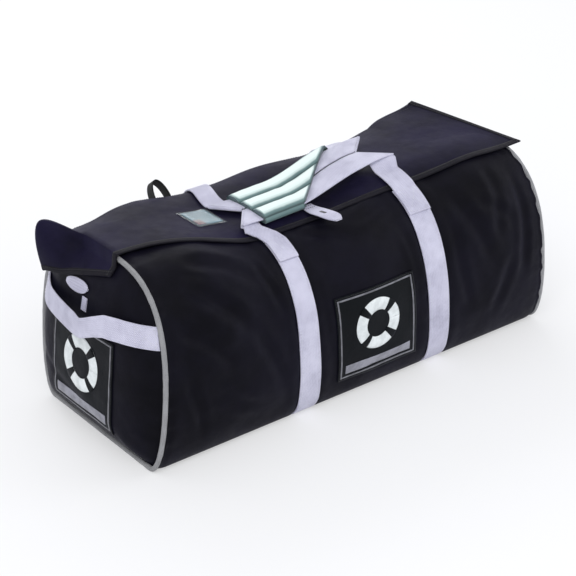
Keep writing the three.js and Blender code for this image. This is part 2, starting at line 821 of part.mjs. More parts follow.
add('packed_bag', packed_bag(), 'black_fabric');
add('left_end_panel', end_panel(-1), 'black_fabric');
add('right_end_panel', end_panel(1), 'black_fabric');
add('left_piping', piping(-1), 'grey_piping');
add('right_piping', piping(1), 'grey_piping');
add('left_girth_strap', girth_strap(-1), 'white_webbing');
add('right_girth_strap', girth_strap(1), 'white_webbing');
add('weather_flap', weather_flap(), 'navy_fabric');
add('zip_tape', zip_tape(), 'black_fabric');
add('front_handle', carry_handle(1), 'white_webbing');
add('back_handle', carry_handle(-1), 'white_webbing');
add('handle_grip', handle_grip(), 'mint_grip');
add('left_end_handle', end_handle(-1), 'white_webbing');
add('right_end_handle', end_handle(1), 'white_webbing');
add('zip_slider', zip_slider(), 'dark_metal');
add('pull_tag', pull_tag(), 'white_webbing');
add('pull_tail', pull_tail(), 'white_webbing');
add('lashing_loop', lashing_loop(), 'black_fabric');
add('pocket_card', pocket_sheet(card_margin, loose_clearance, card_thickness), 'slate_card');
add('pocket_film', pocket_sheet(0, loose_clearance * 2 + card_thickness, film_thickness), 'clear_film');
add('flap_tab', flap_tab(), 'white_webbing');

const patch_top = patch_base + patch_height;
const strip_length = patch_length - 2 * strip_margin;
const strip_to = strip_from + strip_height;
add('front_patch', front_strip(patch_length, patch_base, patch_top, loose_clearance, patch_thickness), 'black_fabric');
add('front_ring', front_ring(), 'white_print');
add('front_strip', front_strip(strip_length, strip_from, strip_to, on_patch, emblem_thickness), 'grey_strip');
add('end_patch', end_strip(patch_length, patch_base, patch_top, end_patch_stand_off, patch_thickness), 'black_fabric');
add('end_ring', end_ring_emblem(), 'white_print');
add('end_strip', end_strip(strip_length, strip_from, strip_to, on_end_patch, emblem_thickness), 'grey_strip');

export default valise;
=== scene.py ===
import math

import bpy
import numpy as np
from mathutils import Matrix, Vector


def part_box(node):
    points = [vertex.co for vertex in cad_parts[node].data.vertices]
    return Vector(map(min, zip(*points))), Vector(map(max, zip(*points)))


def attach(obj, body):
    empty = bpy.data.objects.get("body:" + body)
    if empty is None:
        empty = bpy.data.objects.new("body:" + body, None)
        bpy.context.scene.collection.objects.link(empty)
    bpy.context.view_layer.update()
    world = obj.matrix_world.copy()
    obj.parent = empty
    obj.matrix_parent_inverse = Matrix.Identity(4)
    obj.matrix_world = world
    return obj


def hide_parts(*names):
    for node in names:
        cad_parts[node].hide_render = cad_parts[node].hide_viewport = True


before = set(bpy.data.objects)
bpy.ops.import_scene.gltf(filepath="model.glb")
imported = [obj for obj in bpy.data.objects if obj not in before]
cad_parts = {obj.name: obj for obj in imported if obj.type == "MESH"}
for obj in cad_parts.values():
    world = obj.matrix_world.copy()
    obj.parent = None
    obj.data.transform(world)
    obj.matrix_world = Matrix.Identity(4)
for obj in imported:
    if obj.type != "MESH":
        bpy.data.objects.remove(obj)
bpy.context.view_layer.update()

MM = 0.001
rng = np.random.default_rng(7)

# ---- sizes shared with the solids
LENGTH, WIDTH, HEIGHT = 750.0, 328.0, 299.0
WIDEST, FOOT = 116.0, 37.0
POWER_ACROSS, POWER_UP, POWER_FOOT = 3.2, 2.4, 2.2
LEAN, SLIDE = 23.0, 30.0
BULGE, BULGE_POWER, BULGE_Z = 37.0, 4.6, 124.0
PUFF, SHOULDER, SAG, CREST = 4.0, 9.0, -6.0, 2.0
PIPING = 4.5
HALF = LENGTH / 2
END = HALF - PIPING - 0.3
WEB = 20.0
STRAP_X = (22 - 128.5, 22 + 128.5)
FRONT_REACH, FRONT_REACH_LEFT, BACK_REACH = 88.0, 38.0, 104.0
BED_DEPTH, BED_X, BED_Y = 14.0, (-330.0, -130.0, -30.0, 150.0), (28.0, 98.0)


def smoothstep(v, a, b):
    t = np.clip((np.asarray(v, float) - a) / (b - a), 0, 1)
    return t * t * (3 - 2 * t)


def lerp(a, b, t):
    return a + (b - a) * t


# ---- deterministic noise
TABLE = rng.random((64, 64)) * 2 - 1


def noise(u, v):
    """Smooth noise from -1 to 1 over the plane, with a period of 64."""
    u, v = np.broadcast_arrays(np.asarray(u, float), np.asarray(v, float))
    iu, iv = np.floor(u).astype(int), np.floor(v).astype(int)
    fu, fv = u - iu, v - iv
    fu, fv = fu * fu * (3 - 2 * fu), fv * fv * (3 - 2 * fv)
    a, b = TABLE[iu % 64, iv % 64], TABLE[(iu + 1) % 64, iv % 64]
    c, d = TABLE[iu % 64, (iv + 1) % 64], TABLE[(iu + 1) % 64, (iv + 1) % 64]
    return lerp(lerp(a, b, fu), lerp(c, d, fu), fv)


# ---- the outline across the bag, by distance from its top centre, positive down the front
def make_outline():
    t = np.linspace(0, np.pi / 2, 400)
    y1 = -WIDTH / 2 * np.sin(t) ** (2 / POWER_ACROSS)
    z1 = WIDEST + (HEIGHT - WIDEST) * np.cos(t) ** (2 / POWER_UP)
    y2 = -(WIDTH / 2 - FOOT) - FOOT * np.cos(t) ** (2 / POWER_FOOT)
    z2 = WIDEST * (1 - np.sin(t) ** (2 / POWER_FOOT))
    y = np.concatenate([y1, y2[1:]])
    z = np.concatenate([z1, z2[1:]])
    y = np.concatenate([y, -y[::-1]])
    z = np.concatenate([z, z[::-1]])
    s = np.concatenate([[0], np.cumsum(np.hypot(np.diff(y), np.diff(z)))])
    keep = np.concatenate([[True], np.diff(s) > 1e-9])
    s, y, z = s[keep], y[keep], z[keep]
    even = np.linspace(0, s[-1], 1201)
    y, z = np.interp(even, s, y)[:-1], np.interp(even, s, z)[:-1]
    for _ in range(6):
        y = (np.roll(y, 1) + 2 * y + np.roll(y, -1)) / 4
        z = (np.roll(z, 1) + 2 * z + np.roll(z, -1)) / 4
    ty, tz = np.roll(y, -4) - np.roll(y, 4), np.roll(z, -4) - np.roll(z, 4)
    size = np.hypot(ty, tz)
    return s[-1], y, z, tz / size, -ty / size


ROUND, OUT_Y, OUT_Z, OUT_NY, OUT_NZ = make_outline()


def outline(s):
    place = (np.asarray(s, float) / ROUND % 1) * 1200
    i = np.floor(place).astype(int) % 1200
    f = place - np.floor(place)
    j = (i + 1) % 1200
    y, z = lerp(OUT_Y[i], OUT_Y[j], f), lerp(OUT_Z[i], OUT_Z[j], f)
    ny, nz = lerp(OUT_NY[i], OUT_NY[j], f), lerp(OUT_NZ[i], OUT_NZ[j], f)
    return y, z, ny, nz


def front_distance(z):
    k = np.arange(0, 600)
    return np.interp(-np.asarray(z, float), -OUT_Z[k], k / 1200 * ROUND)


# ---- relief of the filled fabric
# each crease: bay position from, distance from, to, to, depth and width in millimetres
CREASES = [
    (-330, 120, -215, 215, 5.6, 11), (-352, 175, -250, 255, 4.6, 10), (-300, 96, -170, 150, 4.2, 10),
    (-215, 210, -150, 330, 3.0, 10), (-345, 250, -300, 360, 2.6, 8), (-180, 120, -140, 220, 2.6, 7),
    (-290, 290, -200, 345, 2.2, 8), (-60, 108, 20, 132, 2.6, 8), (30, 120, 110, 104, 2.4, 8),
    (-75, 160, -66, 300, 2.4, 7), (112, 150, 118, 300, 2.2, 7), (0, 350, 90, 356, 1.8, 8),
    (205, 118, 262, 250, 3.2, 10), (292, 104, 276, 215, 2.6, 9), (338, 118, 326, 300, 3.4, 9),
    (190, 170, 214, 320, 2.4, 8), (300, 250, 262, 350, 2.2, 9), (240, 150, 318, 196, 1.8, 8),
    (-320, -130, -230, -240, 3.6, 9), (-250, -110, -160, -210, 3.0, 8), (-340, -220, -300, -350, 3.0, 8),
    (-180, -230, -150, -350, 2.6, 8), (-60, -120, 60, -150, 2.8, 9), (-20, -200, 80, -260, 2.4, 9),
    (110, -130, 60, -230, 2.2, 8), (-70, -260, -20, -350, 2.2, 8), (200, -120, 260, -300, 3.6, 9),
    (280, -110, 310, -330, 3.6, 9), (340, -130, 330, -330, 3.4, 8), (200, -260, 240, -360, 2.4, 8),
]


def creases(x, s):
    s = (s + ROUND / 2) % ROUND - ROUND / 2
    total = np.zeros(np.broadcast(x, s).shape)
    for x0, s0, x1, s1, depth, width in CREASES:
        dx, ds = x1 - x0, s1 - s0
        long = math.hypot(dx, ds)
        t = ((x - x0) * dx + (s - s0) * ds) / long ** 2
        wander = 6 * noise(t * 2.3 + x0, s0 * 0.37) * np.clip(t * (1 - t) * 4, 0, 1)
        off = ((x - x0) * -ds + (s - s0) * dx) / long + wander
        ends = smoothstep(t, -0.08, 0.25) * (1 - smoothstep(t, 0.7, 1.08))
        total += ends * depth * (
            -np.exp(-((off / width) ** 2)) + 0.55 * np.exp(-(((np.abs(off) - 1.9 * width) / width) ** 2))
        )
    return total


def bays(x):
    left, right = STRAP_X
    half = WEB + 0.5
    lo = np.where(x < left, -END, np.where(x < right, left + half, right + half))
    hi = np.where(x < left, left - half, np.where(x < right, right - half, END))
    return lo, hi, (x >= left) & (x < right)


def bed(x, y):
    """The hollow that the carry handles have pressed into the top."""
    along = smoothstep(x, *BED_X[:2]) * (1 - smoothstep(x, *BED_X[2:]))
    return BED_DEPTH * along * (1 - smoothstep(y, *BED_Y))


def fullness(x, y, z, ny, nz):
    """How far the filling pushes the fabric's broad form out, and the place across its bay."""
    lo, hi, middle = bays(x)
    share = np.clip((x - lo) / (hi - lo), 0, 1)
    above_foot = np.clip(z / WIDEST, 0, 1)
    upward = np.clip(nz, 0, 1) * above_foot
    wave = np.sin(share * np.pi) ** 2
    out = wave * (above_foot * np.abs(ny) * PUFF + 2 * np.abs(ny) * upward * SHOULDER
                  + upward ** 2 * np.where(middle, SAG, CREST))
    return out - upward ** 2 * bed(x, y), share


def relief(x, s):
    """Outward displacement of the fabric at a place along the bag and round it."""
    x, s = np.broadcast_arrays(np.asarray(x, float), np.asarray(s, float))
    y, z, ny, nz = outline(s)
    out, share = fullness(x, y, z, ny, nz)
    lift = smoothstep(z, 2, 60)
    inside = smoothstep(share, 0, 0.16) * (1 - smoothstep(share, 0.84, 1))
    out = out + lift * inside * (2.0 * noise(x / 95 + 3, s / 80) + 1.0 * noise(x / 37, s / 41 + 9))
    out = out + lift * inside * creases(x, s) * 0.9
    # gathers at the end seams and beside the straps
    seam = END - np.abs(x)
    out = out + lift * np.exp(-seam / 13) * 1.5 * noise(s / 10 + np.sign(x) * 7, seam / 30)
    out = out - 2.2 * np.exp(-((seam / 7) ** 2))
    for k, strap in enumerate(STRAP_X):
        gap = np.abs(x - strap) - WEB
        out = out + lift * np.where(gap > 0, np.exp(-gap / 12) * 0.9 * noise(s / 13 + 11 * k, x / 25), 0)
        out = out + lift * np.where(gap > 0, 1.3 * np.exp(-(((gap - 12) / 9) ** 2)), 0)
        out = out - (1.3 + 2.2 * (1 - lift)) * (1 - smoothstep(gap, -2.5, 4.5))
    return out


def settle(p):
    """The slump: the ends lean in with height, and the top slides a little to the left."""
    p = np.array(p, float)
    x, z = p[..., 0].copy(), p[..., 2] / HEIGHT
    along = np.clip(x / HALF, -1, 1)
    p[..., 0] = x - x / HALF * LEAN * z - SLIDE * np.cos(along * np.pi / 2) ** 2 * z
    return p


def skin(x, s, above=0.0, fold=1.0):
    """Points on the fabric, before the slump. fold is how much of the relief they follow."""
    x, s, above = np.broadcast_arrays(*(np.asarray(v, float) for v in (x, s, above)))
    y, z, ny, nz = outline(s)
    out = above + fold * relief(x, s)
    return np.stack([x, y + ny * out, np.maximum(z + nz * out, 0.25)], -1)


def taut(x, s, above=0.0):
    """Points over the fabric's broad form only, for what is stiffer than it."""
    x, s, above = np.broadcast_arrays(*(np.asarray(v, float) for v in (x, s, above)))
    y, z, ny, nz = outline(s)
    out = above + fullness(x, y, z, ny, nz)[0]
    return np.stack([x, y + ny * out, z + nz * out], -1)


# ---- the bulging ends
def rim(s, inset):
    y, z, ny, nz = outline(s)
    return y - ny * inset, z - nz * inset


RIM_S = np.linspace(0, ROUND, 721)[:-1]
RIM_Y, RIM_Z = rim(RIM_S, 9.6)
RIM_ANGLE = np.unwrap(np.arctan2(RIM_Z - BULGE_Z, RIM_Y))
RIM_R = np.hypot(RIM_Y, RIM_Z - BULGE_Z)
ORDER = np.argsort(RIM_ANGLE % (2 * np.pi))
RIM_TURN, RIM_REACH = (RIM_ANGLE % (2 * np.pi))[ORDER], RIM_R[ORDER]


def end_share(y, z):
    angle = np.arctan2(np.asarray(z, float) - BULGE_Z, np.asarray(y, float)) % (2 * np.pi)
    radius = np.interp(angle, RIM_TURN, RIM_REACH, period=2 * np.pi)
    return np.hypot(y, np.asarray(z, float) - BULGE_Z) / radius


def end_relief(side, y, z):
    share = np.clip(end_share(y, z), 0, 1.1)
    angle = np.arctan2(z - BULGE_Z, y)
    pucker = 1.3 * noise(angle * 12 + side * 5, share * 3) * smoothstep(share, 0.62, 1)
    lumps = 1.8 * noise(y / 60 + 5 * side, z / 55) + 0.8 * noise(y / 26, z / 24 + 3 * side)
    drag = -2.4 * np.exp(-(((z - 62 - 0.22 * y) / 8) ** 2)) * smoothstep(-side * y, -60, 30)
    drag = drag - 2.0 * np.exp(-(((z - 246 + 0.15 * y) / 7) ** 2))
    return (pucker + (lumps + drag) * (1 - smoothstep(share, 0.8, 1))) * 0.8


def end_x(side, y, z, off=0.0, fold=1.0):
    y, z = np.asarray(y, float), np.asarray(z, float)
    share = end_share(y, z)
    dome = BULGE * (1 - np.clip(share, 0, 1) ** BULGE_POWER)
    return side * (END + dome + 2.2 + off + fold * end_relief(side, y, z))


def on_end(side, y, z, off=0.0, fold=1.0):
    y, z = np.broadcast_arrays(np.asarray(y, float), np.asarray(z, float))
    return np.stack([end_x(side, y, z, off, fold), y, z], -1)


# ---- mesh makers
def distance_along(path):
    return np.concatenate([[0], np.cumsum(np.linalg.norm(np.diff(path, axis=0), axis=1))])


def unit(v):
    return v / np.linalg.norm(v, axis=-1, keepdims=True)


def publish(name, verts, faces, mat, uv=None, smooth=True, replaces=(), slot=None):
    """A mesh object in metres from millimetre points already slumped. uv is per vertex, in metres."""
    mesh = bpy.data.meshes.new(name)
    mesh.from_pydata((np.asarray(verts) * MM).tolist(), [], faces)
    mesh.validate()
    if uv is not None:
        layer = mesh.uv_layers.new(name="UVMap")
        loops = np.zeros(len(mesh.loops), int)
        mesh.loops.foreach_get("vertex_index", loops)
        layer.data.foreach_set("uv", np.asarray(uv, float)[loops].ravel())
    if smooth:
        mesh.polygons.foreach_set("use_smooth", [True] * len(mesh.polygons))
    mesh.materials.append(mat)
    o = bpy.data.objects.new(name, mesh)
    bpy.context.scene.collection.objects.link(o)
    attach(o, "root")
    if replaces:
        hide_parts(*replaces)
    return o


def grid_faces(m, n, wrap_u=False, wrap_v=False, start=0, flip=False):
    i = np.arange(m if wrap_u else m - 1)
    j = np.arange(n if wrap_v else n - 1)
    i, j = np.meshgrid(i, j, indexing="ij")
    i2, j2 = (i + 1) % m, (j + 1) % n
    quads = np.stack([i * n + j, i2 * n + j, i2 * n + j2, i * n + j2], -1).reshape(-1, 4) + start
    if flip:
        quads = quads[:, ::-1]
    return quads.tolist()


def strip_uv(run, wide):
    u, v = np.meshgrid(run, wide, indexing="ij")
    return np.stack([u, v], -1).reshape(-1, 2)


def grid_uv(m, n, size_u, size_v):
    return strip_uv(np.linspace(0, size_u, m), np.linspace(0, size_v, n))


def sheet(name, outer, inner, mat, size, flip=False, **rest):
    """A thick sheet between two grids of points, closed round its rim."""
    m, n = outer.shape[:2]
    verts = np.concatenate([outer.reshape(-1, 3), inner.reshape(-1, 3)])
    faces = grid_faces(m, n, flip=flip) + grid_faces(m, n, start=m * n, flip=not flip)
    ring = [i * n for i in range(m)] + [(m - 1) * n + j for j in range(1, n)]
    ring += [i * n + n - 1 for i in range(m - 2, -1, -1)] + [j for j in range(n - 2, 0, -1)]
    for a, b in zip(ring, ring[1:] + ring[:1]):
        quad = [a, b, b + m * n, a + m * n]
        faces.append(quad if flip else quad[::-1])
    uv = np.tile(grid_uv(m, n, *size), (2, 1))
    return publish(name, verts, faces, mat, uv=uv, **rest)


BAND = [(-1, 0.5), (-0.99, 0.86), (-0.955, 1), (-0.62, 1.02), (-0.3, 1), (0, 1.03), (0.3, 1), (0.62, 1.02),
        (0.955, 1), (0.99, 0.86), (1, 0.5), (0.99, 0.14), (0.955, 0), (0.5, 0), (0, 0), (-0.5, 0),
        (-0.955, 0), (-0.99, 0.14)]


def ribbon(name, middle, across, face, thick, mat, closed=False, **rest):
    """Webbing through stations that give its middle, half width as a vector and face direction."""
    middle, across, face = (np.asarray(v, float) for v in (middle, across, face))
    face = unit(face)
    m, n = len(middle), len(BAND)
    a, b = (np.array(BAND)[None, :, c, None] for c in (0, 1))
    verts = settle(middle[:, None] + across[:, None] * a + face[:, None] * b * thick)
    faces = grid_faces(m, n, wrap_u=closed, wrap_v=True)
    if not closed:
        faces += [list(range(n))[::-1], [(m - 1) * n + j for j in range(n)]]
    half = np.linalg.norm(across, axis=1).mean() * MM
    uv = strip_uv(distance_along(middle) * MM, np.array(BAND)[:, 0] * half)
    return publish(name, verts.reshape(-1, 3), faces, mat, uv=uv, **rest)


def tube(name, path, radius, mat, sides=10, closed=True, **rest):
    """A round cord along a path of millimetre points already slumped."""
    path = np.asarray(path, float)
    if closed:
        along = np.roll(path, -1, 0) - np.roll(path, 1, 0)
    else:
        along = np.gradient(path, axis=0)
    along /= np.linalg.norm(along, axis=1, keepdims=True)
    side = np.cross(along, np.array([1.0, 0.01, 0.02]))
    side /= np.linalg.norm(side, axis=1, keepdims=True)
    third = np.cross(along, side)
    turn = np.linspace(0, 2 * np.pi, sides, endpoint=False)
    ring = side[:, None] * np.cos(turn)[None, :, None] + third[:, None] * np.sin(turn)[None, :, None]
    verts = path[:, None] + ring * np.asarray(radius, float).reshape(-1, 1, 1)
    faces = grid_faces(len(path), sides, wrap_u=closed, wrap_v=True)
    if not closed:
        last = (len(path) - 1) * sides
        faces += [list(range(sides))[::-1], [last + j for j in range(sides)]]
    uv = strip_uv(distance_along(path) * MM, turn * float(np.mean(radius)) * MM)
    return publish(name, verts.reshape(-1, 3), faces, mat, uv=uv, **rest)


class Stitching:
    """Collects thread stitches and makes them one piece."""

    def __init__(self):
        self.verts, self.faces = [], []

    def row(self, path, normal, pitch=4.2, long=3.0, thick=0.42, proud=0.25):
        path, normal = np.asarray(path, float), np.asarray(normal, float)
        normal = unit(normal)
        run = distance_along(path)
        count = max(int(run[-1] / pitch), 1)
        for k in range(count):
            at = (k + 0.5) * run[-1] / count
            a, b = at - long / 2, at + long / 2
            p = [np.array([np.interp(t, run, path[:, c]) for c in range(3)]) for t in (a, at, b)]
            up = np.array([np.interp(at, run, normal[:, c]) for c in range(3)])
            along = p[2] - p[0]
            size = np.linalg.norm(along)
            if size < 0.2:
                continue
            along /= size
            side = np.cross(along, up)
            side /= np.linalg.norm(side)
            up = np.cross(side, along)
            start = len(self.verts)
            self.verts.append(p[0] - up * 0.1)
            for t, w in ((0.18, 0.8), (0.5, 1.0), (0.82, 0.8)):
                mid = lerp(p[0], p[2], t) + (p[1] - (p[0] + p[2]) / 2) * (1 - abs(2 * t - 1)) + up * proud * w
                for q in range(6):
                    turn = q * np.pi / 3
                    self.verts.append(mid + (side * np.cos(turn) + up * np.sin(turn)) * thick * w)
            self.verts.append(p[2] - up * 0.1)
            end = start + 19
            for q in range(6):
                r = (q + 1) % 6
                self.faces.append([start, start + 1 + r, start + 1 + q])
                for ring in (0, 1):
                    f, g = start + 1 + ring * 6, start + 7 + ring * 6
                    self.faces.append([f + q, f + r, g + r, g + q])
                self.faces.append([start + 13 + q, start + 13 + r, end])

    def make(self, name, mat, **rest):
        return publish(name, settle(np.array(self.verts)), self.faces, mat, **rest)


# ---- materials
def material(name, color, rough, sheen=0.0, coat=0.0, metallic=0.0, spec=0.5):
    mat = bpy.data.materials.new(name)
    mat.use_nodes = True
    tree = mat.node_tree
    shader = tree.nodes["Principled BSDF"]
    shader.inputs["Base Color"].default_value = (*color, 1)
    shader.inputs["Roughness"].default_value = rough
    shader.inputs["Metallic"].default_value = metallic
    shader.inputs["Specular IOR Level"].default_value = spec
    shader.inputs["Sheen Weight"].default_value = sheen
    shader.inputs["Sheen Roughness"].default_value = 0.5
    shader.inputs["Coat Weight"].default_value = coat
    return mat, tree, shader


def node(tree, kind, **values):
    made = tree.nodes.new(kind)
    for key, value in values.items():
        if key in made.inputs:
            made.inputs[key].default_value = value
        else:
            setattr(made, key, value)
    return made


def math_node(tree, operation, a, b=None):
    made = tree.nodes.new("ShaderNodeMath")
    made.operation = operation
    for socket, value in zip(made.inputs, (a, b)):
        if value is None:
            continue
        if isinstance(value, (int, float)):
            socket.default_value = value
        else:
            tree.links.new(value, socket)
    return made.outputs[0]


def noise_at(tree, scale, detail=3.0, rough=0.55):
    made = node(tree, "ShaderNodeTexNoise", Scale=scale, Detail=detail, Roughness=rough)
    place = tree.nodes.new("ShaderNodeTexCoord")
    tree.links.new(place.outputs["Object"], made.inputs["Vector"])
    return made.outputs["Fac"]


def cloth_axes(tree):
    """The places along and across the cloth, in metres."""
    place = tree.nodes.new("ShaderNodeTexCoord")
    split = tree.nodes.new("ShaderNodeSeparateXYZ")
    tree.links.new(place.outputs["UV"], split.inputs[0])
    return split.outputs[0], split.outputs[1]


def ramp(tree, fac, stops):
    made = tree.nodes.new("ShaderNodeValToRGB")
    made.color_ramp.interpolation = "EASE"
    while len(made.color_ramp.elements) < len(stops):
        made.color_ramp.elements.new(0.5)
    for element, (place, color) in zip(made.color_ramp.elements, stops):
        element.position = place
        element.color = (*color, 1)
    tree.links.new(fac, made.inputs["Fac"])
    return made.outputs["Color"]


def wave01(tree, axis_value, period):
    scaled = math_node(tree, "MULTIPLY", axis_value, 2 * math.pi / period)
    wave = math_node(tree, "SINE", scaled)
    half = math_node(tree, "MULTIPLY", wave, 0.5)
    return math_node(tree, "ADD", half, 0.5)


def bump(tree, shader, height, strength, distance, below=None):
    made = node(tree, "ShaderNodeBump", Strength=strength, Distance=distance)
    tree.links.new(height, made.inputs["Height"])
    if below is not None:
        tree.links.new(below, made.inputs["Normal"])
    tree.links.new(made.outputs["Normal"], shader.inputs["Normal"])
    return made.outputs["Normal"]


def coated_nylon(name, dark, light, rough=0.5, sheen=0.25, coat=0.05, thread=0.0011, spec=0.13):
    """Tightly woven nylon with a thin coating: fine basket weave, small crush marks and scuffs."""
    mat, tree, shader = material(name, dark, rough, sheen=sheen, coat=coat, spec=spec)
    shader.inputs["Coat Roughness"].default_value = 0.4
    shader.inputs["Sheen Tint"].default_value = (0.35, 0.32, 0.80, 1)
    long, wide = cloth_axes(tree)
    weave = math_node(tree, "MAXIMUM", wave01(tree, long, thread), wave01(tree, wide, thread))
    mottle = noise_at(tree, 9.0, 5.0, 0.6)
    tree.links.new(ramp(tree, mottle, [(0.3, dark), (0.72, light)]), shader.inputs["Base Color"])
    scuff = noise_at(tree, 55.0, 4.0, 0.65)
    shine = math_node(tree, "MULTIPLY", scuff, 0.28)
    tree.links.new(math_node(tree, "ADD", shine, rough - 0.14), shader.inputs["Roughness"])
    crush = noise_at(tree, 42.0, 3.0, 0.5)
    first = bump(tree, shader, crush, 0.5, 0.0016)
    bump(tree, shader, weave, 0.22, 0.0003, first)
    return mat


CORD_PITCH = 0.0031


def webbing(name, dark, light, period=0.0024, rough=0.62, spec=0.35):
    """Woven webbing: ribs across it with a lengthwise step, slight grime."""
    mat, tree, shader = material(name, light, rough, sheen=0.15 if spec > 0.2 else 0.03, spec=spec)
    long, wide = cloth_axes(tree)
    chevron = math_node(tree, "ABSOLUTE", wide)
    slanted = math_node(tree, "MULTIPLY", math_node(tree, "PINGPONG", chevron, 0.0045), 0.9)
    across = wave01(tree, math_node(tree, "ADD", long, slanted), period)
    cords = math_node(tree, "MULTIPLY", wave01(tree, wide, CORD_PITCH), 0.5)
    weave = math_node(tree, "MULTIPLY", across, math_node(tree, "ADD", cords, 0.6))
    grime = noise_at(tree, 21.0, 5.0, 0.65)
    mixed = math_node(tree, "ADD", math_node(tree, "MULTIPLY", weave, 0.34),
                      math_node(tree, "MULTIPLY", grime, 0.62))
    tree.links.new(ramp(tree, mixed, [(0.18, dark), (0.62, light)]), shader.inputs["Base Color"])
    soft = bump(tree, shader, grime, 0.25, 0.0012)
    bump(tree, shader, weave, 0.55, 0.0006, soft)
    return mat


def plain_cloth(name, dark, light, rough=0.6, scale=30.0, grain=0.0009, spec=0.4, coat=0.0):
    """A smooth or lightly woven surface with gentle variation."""
    mat, tree, shader = material(name, light, rough, sheen=0.1, spec=spec, coat=coat)
    mottle = noise_at(tree, scale, 5.0, 0.6)
    tree.links.new(ramp(tree, mottle, [(0.25, dark), (0.7, light)]), shader.inputs["Base Color"])
    fine = noise_at(tree, 0.6 / grain, 2.0, 0.5)
    coarse = noise_at(tree, scale * 3, 3.0, 0.5)
    first = bump(tree, shader, coarse, 0.35, 0.0010)
    bump(tree, shader, fine, 0.3, 0.0003, first)
    return mat


body_cloth = coated_nylon("body_cloth", (0.0014, 0.0013, 0.0028), (0.0046, 0.0042, 0.0092),
                          rough=0.55, sheen=0.03, coat=0.0, spec=0.07)
flap_cloth = coated_nylon("flap_cloth", (0.0028, 0.0024, 0.0074), (0.0100, 0.0082, 0.0265),
                          rough=0.50, sheen=0.05, coat=0.0, spec=0.06)
patch_cloth = coated_nylon("patch_cloth", (0.0018, 0.0026, 0.0030), (0.0042, 0.0058, 0.0066),
                           rough=0.42, sheen=0.03, coat=0.0, spec=0.07)
binding_cloth = webbing("binding_cloth", (0.002, 0.002, 0.004), (0.008, 0.007, 0.013), period=0.0016,
                        spec=0.12)
white_web = webbing("white_web", (0.30, 0.29, 0.40), (0.69, 0.68, 0.81))
black_web = webbing("black_web", (0.004, 0.004, 0.005), (0.016, 0.016, 0.018), spec=0.15)
piping_cloth = webbing("piping_cloth", (0.16, 0.16, 0.165), (0.36, 0.36, 0.37), period=0.0013)
white_thread = plain_cloth("white_thread", (0.55, 0.55, 0.62), (0.75, 0.75, 0.80), grain=0.0004)
black_thread = plain_cloth("black_thread", (0.012, 0.012, 0.015), (0.03, 0.03, 0.036), grain=0.0004)
print_white = plain_cloth("print_white", (0.62, 0.66, 0.66), (0.86, 0.90, 0.90), rough=0.42, scale=60)
strip_grey = plain_cloth("strip_grey", (0.17, 0.17, 0.20), (0.30, 0.30, 0.35), rough=0.4, scale=70)
frame_grey = plain_cloth("frame_grey", (0.085, 0.086, 0.10), (0.20, 0.20, 0.225), rough=0.45, scale=80)
card_slate = plain_cloth("card_slate", (0.07, 0.14, 0.18), (0.15, 0.25, 0.30), rough=0.5, scale=45)
card_maroon = plain_cloth("card_maroon", (0.10, 0.012, 0.02), (0.19, 0.03, 0.04), rough=0.5, scale=45)
tape_cloth = webbing("tape_cloth", (0.005, 0.005, 0.006), (0.016, 0.016, 0.019), period=0.0014, spec=0.15)


def grip_material():
    mat, tree, shader = material("grip_cloth", (0.62, 0.74, 0.72), 0.5, sheen=0.12, spec=0.4)
    # Painted light and shade: the "depth" attribute is 1 on the rib crests and low in the grooves, on the
    # sides, underneath and at the ends. The ramp paints dark teal shade where it is low and a pale painted
    # highlight on the crests. The stain noise adds random tone.
    attribute = tree.nodes.new("ShaderNodeAttribute")
    attribute.attribute_name = "depth"
    grain = noise_at(tree, 160.0, 4.0, 0.6)
    stain = noise_at(tree, 30.0, 4.0, 0.6)
    lightness_and_stain = math_node(tree, "ADD", attribute.outputs["Fac"], math_node(tree, "MULTIPLY", stain, 0.22))
    colors = ramp(tree, lightness_and_stain, [(0.12, (0.020, 0.048, 0.050)), (0.58, (0.12, 0.20, 0.20)),
                                 (0.86, (0.60, 0.72, 0.69)), (1.0, (0.76, 0.86, 0.83))])
    tree.links.new(colors, shader.inputs["Base Color"])
    bump(tree, shader, grain, 0.4, 0.0006)
    return mat


grip_cloth = grip_material()


def film_material():
    mat, tree, shader = material("clear_film", (0.80, 0.88, 0.90), 0.12, spec=0.6)
    shader.inputs["Transmission Weight"].default_value = 0.85
    shader.inputs["IOR"].default_value = 1.12
    shader.inputs["Alpha"].default_value = 0.42
    bump(tree, shader, noise_at(tree, 38.0, 3.0, 0.5), 0.8, 0.0022)
    return mat


clear_film = film_material()


def metal_material():
    mat, tree, shader = material("dark_metal", (0.05, 0.05, 0.055), 0.35, metallic=0.9)
    wear = noise_at(tree, 320.0, 4.0, 0.6)
    tree.links.new(ramp(tree, wear, [(0.35, (0.04, 0.04, 0.045)), (0.75, (0.16, 0.16, 0.17))]),
                   shader.inputs["Base Color"])
    return mat


dark_metal = metal_material()

# ---- the camera, at the photograph's angle
CAMERA_AZ, CAMERA_EL, CAMERA_AWAY, CAMERA_LENS = -38.45, 27.25, 2.785, 112.6
FOCUS = Vector((0, 0, 0.160))
PIXELS = 576
OBJECT_AT = (13.4, 23.8)
az, el = math.radians(CAMERA_AZ), math.radians(CAMERA_EL)
back = Vector((math.sin(az) * math.cos(el), -math.cos(az) * math.cos(el), math.sin(el)))
right = Vector((math.cos(az), math.sin(az), 0))
up = back.cross(right)
pixel = CAMERA_AWAY * 36 / CAMERA_LENS / PIXELS
eye = FOCUS + back * CAMERA_AWAY
target = FOCUS - right * OBJECT_AT[0] * pixel - up * OBJECT_AT[1] * pixel
camera_data = bpy.data.cameras.new("camera")
camera_data.lens = CAMERA_LENS
camera_data.clip_end = 60
camera = bpy.data.objects.new("camera", camera_data)
bpy.context.scene.collection.objects.link(camera)
camera.location = eye
camera.rotation_mode = "QUATERNION"
camera.rotation_quaternion = (target - eye).to_track_quat("-Z", "Y")
bpy.context.scene.camera = camera

# ---- the bag's body
AROUND, ALONG, SEAM_OVER = 320, 240, 2.5


